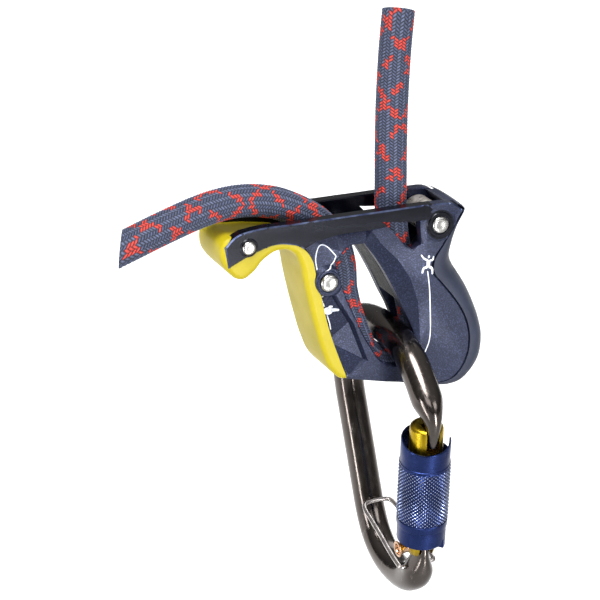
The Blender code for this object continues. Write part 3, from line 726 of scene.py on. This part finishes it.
def relief_mesh():
    """The relief's nodes joined into triangles that keep every crease."""
    names = list(RELIEF)
    edges = []
    for crease in CREASES:
        run = crease.split()
        edges += [(names.index(a), names.index(b)) for a, b in zip(run, run[1:])]
    found = delaunay_2d_cdt([Vector(RELIEF[n][:2]) for n in names], edges, [], 0, 1e-5)
    return np.array([list(v) for v in found[0]]), found[1], found[2], found[3], names


CAGE_AT, CAGE_EDGES, CAGE_FACES, CAGE_FROM, CAGE_NAMES = relief_mesh()


def relief(x, z):
    """Depth of the plate's outer face below the arm, in millimetres."""
    level = np.array([RELIEF[CAGE_NAMES[f[0]]][2] if f else CROSSING_DEPTH for f in CAGE_FROM])
    depth = np.full(x.shape, OFF_DEPTH)
    for face in CAGE_FACES:
        (ax, az), (bx, bz), (cx, cz) = (CAGE_AT[i] for i in face)
        whole = (bx - ax) * (cz - az) - (cx - ax) * (bz - az)
        if abs(whole) < 1e-9:
            continue
        u = ((x - ax) * (cz - az) - (cx - ax) * (z - az)) / whole
        v = ((bx - ax) * (z - az) - (x - ax) * (bz - az)) / whole
        inside = (u >= -1e-6) & (v >= -1e-6) & (u + v <= 1 + 1e-6)
        first, second, third = level[list(face)]
        value = first + u * (second - first) + v * (third - first)
        depth = np.where(inside, value * FACET_DEPTH, depth)
    for (bx, bz), reach, top in BOSSES:
        depth = np.minimum(depth, top + np.clip(np.hypot(x - bx, z - bz) - reach, 0, None) * BOSS_SLOPE)
    return depth


def inside_loops(points, loops):
    """Whether each point is inside the first loop and outside the holes."""
    hit = np.zeros(len(points), bool)
    for loop in loops:
        a, b = loop, np.roll(loop, -1, 0)
        (ax, az), (step_x, step_z) = a.T, (b - a).T
        crosses = (az > points[:, None, 1]) != (b[:, 1] > points[:, None, 1])
        with np.errstate(divide="ignore", invalid="ignore"):
            at = ax + (points[:, None, 1] - az) * step_x / step_z
        hit ^= (np.sum(crosses & (points[:, None, 0] < at), axis=1) % 2).astype(bool)
    return hit


# What a point of a plate's mesh belongs to
RIM, CHAMFER_TOP, FACE = range(3)
# The polished face: above the arm's line left of ARM_X, all beyond THUMB_X, and round the roller's pin
ARM_X, THUMB_X, ROLLER_FLAT = -3.2, -47, 4.9
# A face this steep, this close to the outer face and above this height is a chamfer with the painted edge highlight
EDGE_FLATNESS, EDGE_REACH, EDGE_LOW = 0.86, 0.5, -6


def side_plate(name, side, node):
    """A forged plate: faceted outer face, chamfered edges on both faces, and walls between them."""
    loops = [loop_points(loop, 9) for loop in (PLATE_OUTLINE, SLOT, WINDOW)]
    points, edges, rank = [], [], []

    def add_ring(ring, kind):
        first, count = len(points), len(ring)
        points.extend(tuple(p) for p in ring)
        rank.extend([kind] * count)
        edges.extend((first + i, first + (i + 1) % count) for i in range(count))

    for loop in loops:
        tangent = unit_rows(np.roll(loop, -1, 0) - np.roll(loop, 1, 0))
        normal = np.stack([-tangent[:, 1], tangent[:, 0]], 1)
        if not inside_loops(loop[:1] + normal[:1] * 0.02, loops)[0]:
            normal = -normal
        add_ring(loop, RIM)
        add_ring(loop + normal * CHAMFER, CHAMFER_TOP)
    for (bx, bz), reach, _ in BOSSES:
        for r in (reach, reach + BOSS_SIDE):
            add_ring([(bx + r * cos(a), bz + r * sin(a)) for a in round_steps(BOSS_STEPS)], FACE)
    first = len(points)
    points += [tuple(p) for p in CAGE_AT]
    rank += [FACE] * len(CAGE_AT)
    edges += [(first + a, first + b) for a, b in CAGE_EDGES]
    found = delaunay_2d_cdt([Vector(p) for p in points], edges, [], 0, 1e-5)
    flat = np.array([list(v) for v in found[0]])
    faces = np.array(found[2])
    keep = inside_loops(flat[faces].mean(1), loops)
    faces = faces[keep]
    kinds = np.array([min((rank[i] for i in origin), default=FACE) for origin in found[3]])
    count = len(flat)
    outer = OUTER_Y - relief(flat[:, 0], flat[:, 1]) - np.where(kinds == RIM, CHAMFER * 0.8, 0)
    inner = INNER_Y + np.where(kinds == RIM, CHAMFER * 0.6, 0)
    solid = np.concatenate([np.stack([flat[:, 0], side * y, flat[:, 1]], 1) for y in (outer, inner)])
    used = dict.fromkeys(e for a, b, c in faces for e in ((a, b), (b, c), (c, a)))
    walls = [(a, b) for a, b in used if (b, a) not in used]
    made = [tuple(f) for f in faces] + [tuple(f[::-1] + count) for f in faces]
    made += [(b, a, a + count, b + count) for a, b in walls]
    obj = mesh_object(name, solid, made)
    cleaned(obj.data, loose=True)
    for surface in (NAVY, ARM, EDGE):
        obj.data.materials.append(surface)
    arm_x, arm_z = zip(*[RELIEF[n][:2] for n in ("a0", "a1", "a2", "a3", "a4", "a5", "a6")])
    for face in obj.data.polygons:
        x, y, z = face.center / MM
        steep = abs(face.normal.y) < EDGE_FLATNESS
        # Steep faces along the outer face's edge get the painted highlight material
        if steep and abs(abs(y) - OUTER_Y) < EDGE_REACH and z > EDGE_LOW:
            face.material_index = 2
        elif (z > np.interp(x, arm_x, arm_z) and x < ARM_X) or x < THUMB_X or hypot(x, z) < ROLLER_FLAT:
            face.material_index = 1
    placed(obj, "housing", None, "plate_navy", node, sharp=14)


side_plate("near_plate_forged", -1, "near_side_plate")
side_plate("far_plate_forged", 1, "far_side_plate")


# How far the marks stand off the face, and the spacing of their points
PRINT_PROUD, STROKE_STEP = 0.1, 0.25


def on_plate(points):
    """Points (x, z) on the near plate's face, just proud of it."""
    x, z = points.T
    return np.stack([x, -(OUTER_Y - relief(x, z)) - PRINT_PROUD, z], 1)


def stroke(name, points, widths):
    """A printed stroke on the near plate, with rounded ends and five points across so that it follows the facets."""
    widths = np.broadcast_to(np.asarray(widths, float), len(points))
    rows, _ = smooth_line([(*p, 0.0, w) for p, w in zip(points, widths)], STROKE_STEP)
    along = unit_rows(np.gradient(rows[:, :2], axis=0))
    normal = np.stack([-along[:, 1], along[:, 0]], 1)
    n = len(rows)
    far = np.linspace(0, 1, n)
    length = max(n * STROKE_STEP, 0.3)
    half = rows[:, 3] / 2
    from_end = np.clip(1 - np.minimum(far, 1 - far) * length / half, 0, 1)
    half = (half * np.sqrt(np.clip(1 - from_end**2, 0.05, 1)))[:, None]
    flat = np.concatenate([rows[:, :2] + normal * half * side for side in (1, 0.5, 0, -0.5, -1)])
    faces = [(k + i, k + i + 1, k + n + i + 1, k + n + i) for k in range(0, 4 * n, n) for i in range(n - 1)]
    obj = mesh_object(name, on_plate(flat), faces)
    obj.data.flip_normals()
    placed(obj, "housing", PRINT, "plate_navy")


# Generic pictograms: a climber with the rope from the hips, the rope's loop over the pin, and a hand on it
LINE, ARM_WIDTHS, LEG_WIDTHS = 0.34, [0.7, 0.55, 0.45], [0.9, 0.75, 0.5]
for mark, points, widths in (
    ("climber_head", [(-3.9, -10.45), (-3.2, -10.45)], 1.1),
    ("climber_body", [(-3.6, -11.5), (-3.7, -12.8), (-3.8, -14.0)], [1.6, 1.2, 1.3]),
    ("climber_arm_l", [(-3.9, -11.6), (-5.2, -10.9), (-6.2, -9.5)], ARM_WIDTHS),
    ("climber_arm_r", [(-3.2, -11.6), (-2.2, -11.7), (-1.9, -10.4)], ARM_WIDTHS),
    ("climber_leg_l", [(-3.9, -13.8), (-5.3, -14.3), (-5.7, -16.0)], LEG_WIDTHS),
    ("climber_leg_r", [(-3.5, -13.8), (-2.4, -14.6), (-2.2, -16.6)], LEG_WIDTHS),
    ("rope_line", [(-3.9, -15.2), (-3.3, -19.5), (-2.9, -24.0), (-2.5, -34.4), (-2.8, -39.4), (-4.2, -43.2)], LINE),
    ("loop_over", [(-41.8, -10.2), (-42.2, -6.2), (-40.9, -2.4), (-38.4, -2.9), (-35.4, -6.3)], LINE),
    ("loop_under", [(-39.6, -10.7), (-37.9, -9.8), (-36.3, -8.2), (-35.4, -6.3)], LINE),
    ("hand_line_top", [(-40.2, -18.6), (-39.6, -21.0), (-39.1, -23.0)], LINE),
    ("hand_line_low", [(-38.2, -25.8), (-37.4, -28.6), (-36.7, -31.2)], LINE),
    ("hand_palm", [(-39.5, -24.1), (-38.0, -24.5), (-36.2, -24.9)], [1.5, 2.3, 2.0]),
    ("hand_finger", [(-36.8, -24.5), (-35.0, -24.7), (-33.7, -25.0)], [1.2, 0.9, 0.6]),
    ("hand_thumb", [(-37.9, -24.0), (-37.0, -23.3), (-36.0, -23.5)], [0.8, 0.7, 0.5]),
):
    stroke("mark_" + mark, points, widths)

# ---- housing parts between and behind the plates


def prism(loop, low_y, high_y):
    """An outline's solid between two heights across the device."""
    points = loop_points(loop, 8)
    count = len(points)
    solid = [(x, y, z) for y in (low_y, high_y) for x, z in points]
    faces = [(i, (i + 1) % count, count + (i + 1) % count, count + i) for i in range(count)]
    made = mesh_object("cutter", solid, [*faces, tuple(range(count))[::-1], tuple(range(count, 2 * count))])
    cleaned(made.data)
    return made


# The handle is nearly as wide as the plates' outer faces, and the plates are let into it
HANDLE_HALF, HANDLE_ROUND = OUTER_Y - 0.4, 1.9
LET_IN, LET_OUT = INNER_Y - 0.05, OUTER_Y + 3
grip = rounded_slab("handle_moulded", HANDLE_OUTLINE, -HANDLE_HALF, HANDLE_HALF, HANDLE_ROUND)
carved(grip, [prism(PLATE_OUTLINE, LET_IN, LET_OUT), prism(PLATE_OUTLINE, -LET_OUT, -LET_IN)])
placed(grip, "housing", YELLOW, "handle_yellow", "handle_grip", sharp=40)

SPINE_HALF, SPINE_GAP = 10.7, 0.25
stations, _ = smooth_line(SPINE_STATIONS, 0.9)
spine_rings = []
for x, z, depth, proud_x, proud_z in stations:
    edge = x + SPINE_GAP
    ring = [(x - depth, FILL_Y, z), (x - depth, -FILL_Y, z), (edge, -FILL_Y, z)]
    for angle in np.linspace(-pi / 2, pi / 2, 25):
        swell = cos(angle) ** 0.8 if cos(angle) > 0 else 0.0
        ring.append((edge + proud_x * swell, SPINE_HALF * sin(angle), z + proud_z * swell))
    ring.append((edge, FILL_Y, z))
    spine_rings.append(ring)
placed(skin("spine_moulded", spine_rings), "housing", SLATE, "spine_slate", "rear_spine", sharp=48)

TOP_LIP = [(2.9, 6.6, CORNER), (4.9, 6.1, CORNER), (8.1, 3.7, CORNER), (7.0, 2.2, CORNER), (4.6, 3.9, CORNER)]
placed(rounded_slab("spine_top_lip", TOP_LIP, -6.9, 6.9, 0.3), "housing", NAVY, "spine_slate")
liner = rounded_slab("insert_liner", BRAKE_INSERT, -FILL_Y, FILL_Y, 0.25)
placed(liner, "housing", BLACK, "insert_black", "brake_insert")
RIB_HALF, RIB_R, RIB_PITCH = 6.6, 0.3, 0.95
face_line, _ = smooth_line([(-25.0, 0, -3.9), (-20.8, 0, -9.9), (-15.7, 0, -18.9), (-12.9, 0, -24.4)], RIB_PITCH)
for index, (x, _, z) in enumerate(face_line):
    bar = sweep("insert_rib_%02d" % index, [(x, y, z) for y in (-RIB_HALF, 0, RIB_HALF)], RIB_R, 8)
    placed(bar, "housing", BLACK, "insert_black")


def along_y(centre):
    """Where a turned piece goes to lie across the device."""
    return Matrix.Translation((centre[0] * MM, 0, centre[1] * MM)) @ Matrix.Rotation(-pi / 2, 4, "X")


def pin(name, centre, head_r, head_t, node):
    """A rivet: domed, slightly dished heads with a rolled edge on both ends."""
    face = OUTER_Y + 0.1
    half = [
        (0.0, face + head_t * 0.86), (head_r * 0.35, face + head_t * 0.9), (head_r * 0.62, face + head_t),
        (head_r * 0.84, face + head_t * 0.92), (head_r * 0.97, face + head_t * 0.62), (head_r, face + head_t * 0.3),
        (head_r, face), (PIN_R, face),
    ]
    profile = half + [(r, -z) for r, z in half[::-1]]
    placed(turned(name, profile, 64), "housing", STEEL, "pin_steel", node, matrix=along_y(centre), sharp=60)


def collar(name, centre, inner_r, outer_r, proud, surface=ARM):
    """A raised ring round a pin's head, one on each plate."""
    low, high = OUTER_Y - 0.6, OUTER_Y + proud
    for side, word in ((1, "far"), (-1, "near")):
        ring = [
            (inner_r, side * low), (inner_r, side * (high - 0.12)), (inner_r + 0.15, side * high),
            (outer_r - 0.25, side * high), (outer_r, side * (high - 0.25)), (outer_r, side * low),
        ]
        obj = turned("%s_%s" % (name, word), ring, 64, closed=True)
        placed(obj, "housing", surface, "plate_navy", matrix=along_y(centre), sharp=30)


pin("roller_pin_head", ROLLER_AT, 2.75, 0.9, "roller_pin")
pin("centre_pin_head", CENTRE_PIN_AT, 2.95, 1.3, "centre_pin")
pin("thumb_rivet_head", THUMB_PIN_AT, 2.2, 0.8, "thumb_rivet")
collar("roller_pin_collar", ROLLER_AT, 3.1, 4.3, 0.45)
collar("centre_pin_collar", CENTRE_PIN_AT, 3.2, 3.9, 0.35, NAVY)
collar("thumb_rivet_collar", THUMB_PIN_AT, 2.45, 3.0, 0.3)

BORE_R, ROLLER_ROUND = 2.5, 0.4
half_wall = [(BORE_R, FILL_Y), (ROLLER_R - ROLLER_ROUND, FILL_Y), (ROLLER_R, FILL_Y - ROLLER_ROUND)]
roller = turned("roller_brushed", half_wall + [(r, -z) for r, z in half_wall[::-1]], 96, closed=True)
placed(roller, "housing", ROLLER, "roller_steel", "brake_roller", matrix=along_y(ROLLER_AT))


def shown_cad(node, surface):
    """A CAD node that shows as it is, in this surface."""
    mesh = frame["nodes"][node].data
    mesh.materials.clear()
    mesh.materials.append(surface)
    return mesh


shown_cad("centre_bush", STEEL)

# ---- carabiner

SWING = Matrix.Translation((BAR_AT[0] * MM, 0, BAR_AT[1] * MM)) @ Matrix.Rotation(LEAN, 4, "Y")
gate_along = Vector((0, GATE_TIP[0] - GATE_PIVOT[0], GATE_TIP[1] - GATE_PIVOT[1]))
GATE_LENGTH = gate_along.length
gate_along.normalize()
gate_side = gate_along.cross(Vector((1, 0, 0)))
HINGE = SWING @ Matrix.Translation((0, GATE_PIVOT[0] * MM, GATE_PIVOT[1] * MM))
GATE = HINGE @ Matrix((Vector((1, 0, 0)), gate_side, gate_along)).transposed().to_4x4()


# The power of the stock's section; 2 is a circle
SQUARENESS = 2.08


def carabiner_stock():
    """The frame's bar: round stock, a hair squared, drawn out to a blade at the nose and flattened at the tang."""
    rows, _ = smooth_line([(0.0, u, v, a, b) for u, v, a, b in FRAME_LINE], 0.8)
    line = rows[:, :3]
    along = unit_rows(np.gradient(line, axis=0))
    flat = np.cross(along, (1.0, 0.0, 0.0))
    angle = round_steps(40)
    c, s = np.cos(angle), np.sin(angle)
    power = 2 / SQUARENESS
    cx, cy = np.sign(c) * np.abs(c) ** power, np.sign(s) * np.abs(s) ** power
    rings = (
        line[:, None] + rows[:, 3][:, None, None] * cx[None, :, None] * flat[:, None]
        + rows[:, 4][:, None, None] * cy[None, :, None] * np.array((1.0, 0, 0))
    )
    nose = [line[0] + (rings[0] - line[0]) * k - along[0] * (1 - k) * 0.8 for k in (0.55, 0.9)]
    tail = [line[-1] + (rings[-1] - line[-1]) * k + along[-1] * (1 - k) * 1.2 for k in (0.97, 0.85, 0.6)]
    return skin("carabiner_polished", [*nose, *rings, *tail])


placed(carabiner_stock(), "carabiner", GUNMETAL, "frame_gunmetal", "carabiner_frame", matrix=SWING, sharp=60)
rivet = turned("hinge_rivet_flared", [
    (0, 5.8), (2.1, 5.8), (2.45, 5.65), (2.45, 5.5), (1.8, 5.4), (1.7, -5.6), (1.9, -6.8), (2.3, -7.7),
    (2.7, -8.0), (2.75, -8.25), (2.55, -8.45), (1.9, -8.45), (1.7, -8.2), (1.6, -7.6), (0.9, -7.5), (0, -7.5),
], 56)
placed(
    rivet, "carabiner", BRONZE, "rivet_bronze", "gate_hinge_rivet", sharp=50,
    matrix=HINGE @ Matrix.Rotation(pi / 2, 4, "Y"),
)

# One side of the keeper wire: u and v from its pivot, then its distance from the middle
KEEPER_HALF, KEEPER_R = 6.25, 0.75
keeper_side = [
    (0.0, 0.0, 3.4), (0.0, 0.0, KEEPER_HALF - 0.4), (1.4, 0.5, KEEPER_HALF), (8.0, 2.4, KEEPER_HALF),
    (16.0, 4.7, KEEPER_HALF - 0.4), (24.0, 7.0, KEEPER_HALF - 0.6), (29.0, 8.4, KEEPER_HALF - 0.8),
    (31.6, 9.1, KEEPER_HALF - 2.2), (32.3, 9.2, 0.0),
]
loop_right = [(w, KEEPER_PIVOT[0] + u, KEEPER_PIVOT[1] + v) for u, v, w in keeper_side]
wire_line, _ = smooth_line(loop_right + [(-w, u, v) for w, u, v in loop_right[-2::-1]], 0.45)
wire = sweep("keeper_wire_bent", wire_line, KEEPER_R, 16)
placed(wire, "keeper", WIRE, "wire_steel", "keeper_wire", matrix=SWING, sharp=70)

# The gate, turned: a nosed head with a ring groove under it, a long neck for the sleeve's spring, and a foot
RING_GROOVE_R, NECK_R = 4.7, 4.1
gate_profile = [
    (0, GATE_LENGTH), (3.6, GATE_LENGTH), (4.6, GATE_LENGTH - 0.2), (5.25, GATE_LENGTH - 0.75),
    (GATE_R, GATE_LENGTH - 1.6), (GATE_R, 34.7), (RING_GROOVE_R, 34.6), (RING_GROOVE_R, 33.0), (GATE_R, 32.9),
    (GATE_R, 30.2), (NECK_R, 30.0), (NECK_R, 12.0), (GATE_R, 11.8), (GATE_R, 3.0), (5.2, 0.4), (4.5, -2.0),
    (NECK_R, -2.4), (0, -2.4),
]
gate = turned("gate_satin", gate_profile, 80)
nose_slot = block((4.4, 11.0, 10.0), (0, -4.8, GATE_LENGTH - 3.3))
tang_slot = block((5.0, 16.0, 11.0), (0, 0, 0))
carved(gate, [nose_slot, tang_slot])
bevel = gate.modifiers.new("edge", "BEVEL")
bevel.width, bevel.segments, bevel.limit_method, bevel.angle_limit = 0.35 * MM, 3, "ANGLE", radians(40)
placed(gate, "gate", GOLD, "gate_gold", "gate_body", matrix=GATE, sharp=38)

# ---- twist sleeve

# Heights along the gate from its pivot; the knurl has KNURL_ROUND diamonds about it
KNURL_LOW, KNURL_HIGH, KNURL_ROUND, KNURL_PITCH, KNURL_DEEP = 11.8, 32.4, 38, 1.36, 0.45
RIM_FROM, FOOT_TO, FOOT_R, WALL_R = 35.0, 6.0, 5.9, 8.1
# The way the sleeve's front faces, from which its rim and foot are measured
FRONT = radians(-112.5)


def sleeve_piece():
    """The sleeve in the gate's frame: collars, a diamond knurl, a cut-away rim and a notched foot."""
    around = KNURL_ROUND * 8
    theta = round_steps(around)
    turn = np.degrees((theta - FRONT + pi) % (2 * pi) - pi)
    rim = np.interp(
        turn,
        [-180, -135, -90, -45, 0, 45, 80, 97, 103, 150, 165, 172, 180],
        [2.4, 2.8, 2.2, 0.5, 0.0, 0.5, 1.4, 1.9, -3.2, -3.4, -1.5, 2.0, 2.4],
    )
    foot = np.interp(turn, [-180, 52, 56, 63, 66, 90, 96, 180], [0.0, 0.0, 1.6, 1.6, -2.3, -2.3, 0.0, 0.0])
    outside = [
        (SLEEVE_START, 7.75), (SLEEVE_START + 0.3, 8.02), (8.9, 8.02), (9.15, 8.28), (9.5, 8.36), (11.5, 8.36),
    ]
    above = [
        (32.6, 8.3), (33.2, 8.3), (33.35, 8.12), (36.0, WALL_R), (SLEEVE_END - 0.3, WALL_R), (SLEEVE_END, 7.95),
    ]
    inside = [
        (SLEEVE_END, 7.55), (SLEEVE_END - 0.4, SLEEVE_BORE_R), (11.0, SLEEVE_BORE_R), (9.0, FOOT_R),
        (SLEEVE_START + 0.3, FOOT_R), (SLEEVE_START, 6.1),
    ]

    def plain(profile):
        return [(z, np.full(around, r), np.zeros(around)) for z, r in profile]

    rows = plain(outside)
    steps = int((KNURL_HIGH - KNURL_LOW) / KNURL_PITCH * 8)
    for z in np.linspace(KNURL_LOW, KNURL_HIGH, steps):
        p, q = ((theta * KNURL_ROUND / (2 * pi) + hand * z / KNURL_PITCH) % 1.0 for hand in (1, -1))
        tip = np.minimum(1 - np.abs(2 * p - 1), 1 - np.abs(2 * q - 1))
        fade = min(1.0, (z - KNURL_LOW) / 0.5 + 0.1, (KNURL_HIGH - z) / 0.5 + 0.1)
        rows.append((z, WALL_R + KNURL_DEEP * tip * fade, tip * fade))
    rows += plain(above + inside)
    rings, tips = [], []
    for z, radius, tip in rows:
        rim_share = np.clip((z - RIM_FROM) / (SLEEVE_END - RIM_FROM), 0, 1)
        foot_share = np.clip((FOOT_TO - z) / (FOOT_TO - SLEEVE_START), 0, 1)
        lift = rim * rim_share + foot * foot_share
        rings.append(np.stack([radius * np.cos(theta), radius * np.sin(theta), z + lift], 1))
        tips.append(tip)
    obj = skin("sleeve_knurled", rings[::-1], closed=True)
    obj.data.flip_normals()
    # The tip value also sets the sleeve's painted highlight on the knurl's tips.
    print_wear_and_knurl_highlight = obj.data.attributes.new("tip", "FLOAT", "POINT")
    print_wear_and_knurl_highlight.data.foreach_set("value", np.concatenate(tips[::-1]).astype(np.float32))
    placed(obj, "sleeve", BLUE, "sleeve_blue", "lock_sleeve", matrix=GATE, sharp=24)


sleeve_piece()
for node, surface in (
    ("gate_plunger", STEEL), ("sleeve_retaining_ring", STEEL), ("gate_spring", WIRE), ("sleeve_spring", WIRE),
):
    shown_cad(node, surface).shade_smooth()

# ---- floor, light and finish

# A wide floor well below the object, mid-grey in front and glowing white behind, as a lit studio sweep
FLOOR_HALF_MM, FLOOR_DROP, GLOW_FULL_AT, GLOW = 30000, 0.5, 0.9, 0.9
floor_corners = [(x * FLOOR_HALF_MM, y * FLOOR_HALF_MM, 0) for x, y in ((-1, -1), (1, -1), (1, 1), (-1, 1))]
floor = mesh_object("floor", floor_corners, [(0, 1, 2, 3)])
floor.location.z = cad_box[0].z - FLOOR_DROP
paper = Surface("floor_paper", (168, 168, 168), 0.9)
paper.bump(paper.noise(30), 0.2)
away = paper.node("SeparateXYZ", {"Vector": paper.place}).outputs["Y"]
paper.shader.inputs["Emission Color"].default_value = (1.0, 1.0, 1.0, 1.0)
glow = paper.between(away, 0.0, GLOW_FULL_AT, 0.0, GLOW)
paper.tree.links.new(glow, paper.shader.inputs["Emission Strength"])
floor.data.materials.append(paper.material)

world = bpy.data.worlds.new("studio")
world.use_nodes = True
sky = world.node_tree
way = sky.nodes.new("ShaderNodeSeparateXYZ")
sky.links.new(sky.nodes.new("ShaderNodeTexCoord").outputs["Generated"], way.inputs[0])
rise = sky.nodes.new("ShaderNodeMapRange")
rise.interpolation_type = "SMOOTHSTEP"
for socket, value in (("From Min", 0.1), ("From Max", 0.95), ("To Min", 0.14), ("To Max", 0.45)):
    rise.inputs[socket].default_value = value
sky.links.new(way.outputs["Z"], rise.inputs["Value"])
sky.links.new(rise.outputs["Result"], sky.nodes["Background"].inputs["Strength"])
sky.nodes["Background"].inputs["Color"].default_value = (1.0, 1.0, 1.0, 1.0)
scene.world = world
scene.view_settings.view_transform = "Standard"


def light(name, kind, place, energy, **settings):
    """A light that points at the object."""
    data = bpy.data.lights.new(name, kind)
    data.energy = energy
    for key, value in settings.items():
        setattr(data, key, value)
    obj = linked(name, data)
    obj.location = place
    obj.rotation_euler = (TARGET - Vector(place)).to_track_quat("-Z", "Y").to_euler()


light("daylight", "SUN", (-0.5, -0.5, 1.6), 4.2, angle=radians(30))
for name, place, energy, width, height in (
    ("key", (-0.50, -0.85, 0.60), 3.0, 0.6, 0.5),
    ("plate_sheen", (0.40, -0.95, 0.46), 2.6, 0.5, 0.35),
    ("strip_front", (0.08, -0.88, -0.30), 8.0, 0.16, 0.6),
    ("strip_left", (-0.80, -0.20, -0.15), 3.0, 0.10, 0.6),
    ("rim", (0.55, 0.5, 0.5), 1.5, 0.3, 0.6),
):
    light(name, "AREA", place, energy, shape="RECTANGLE", size=width, size_y=height)
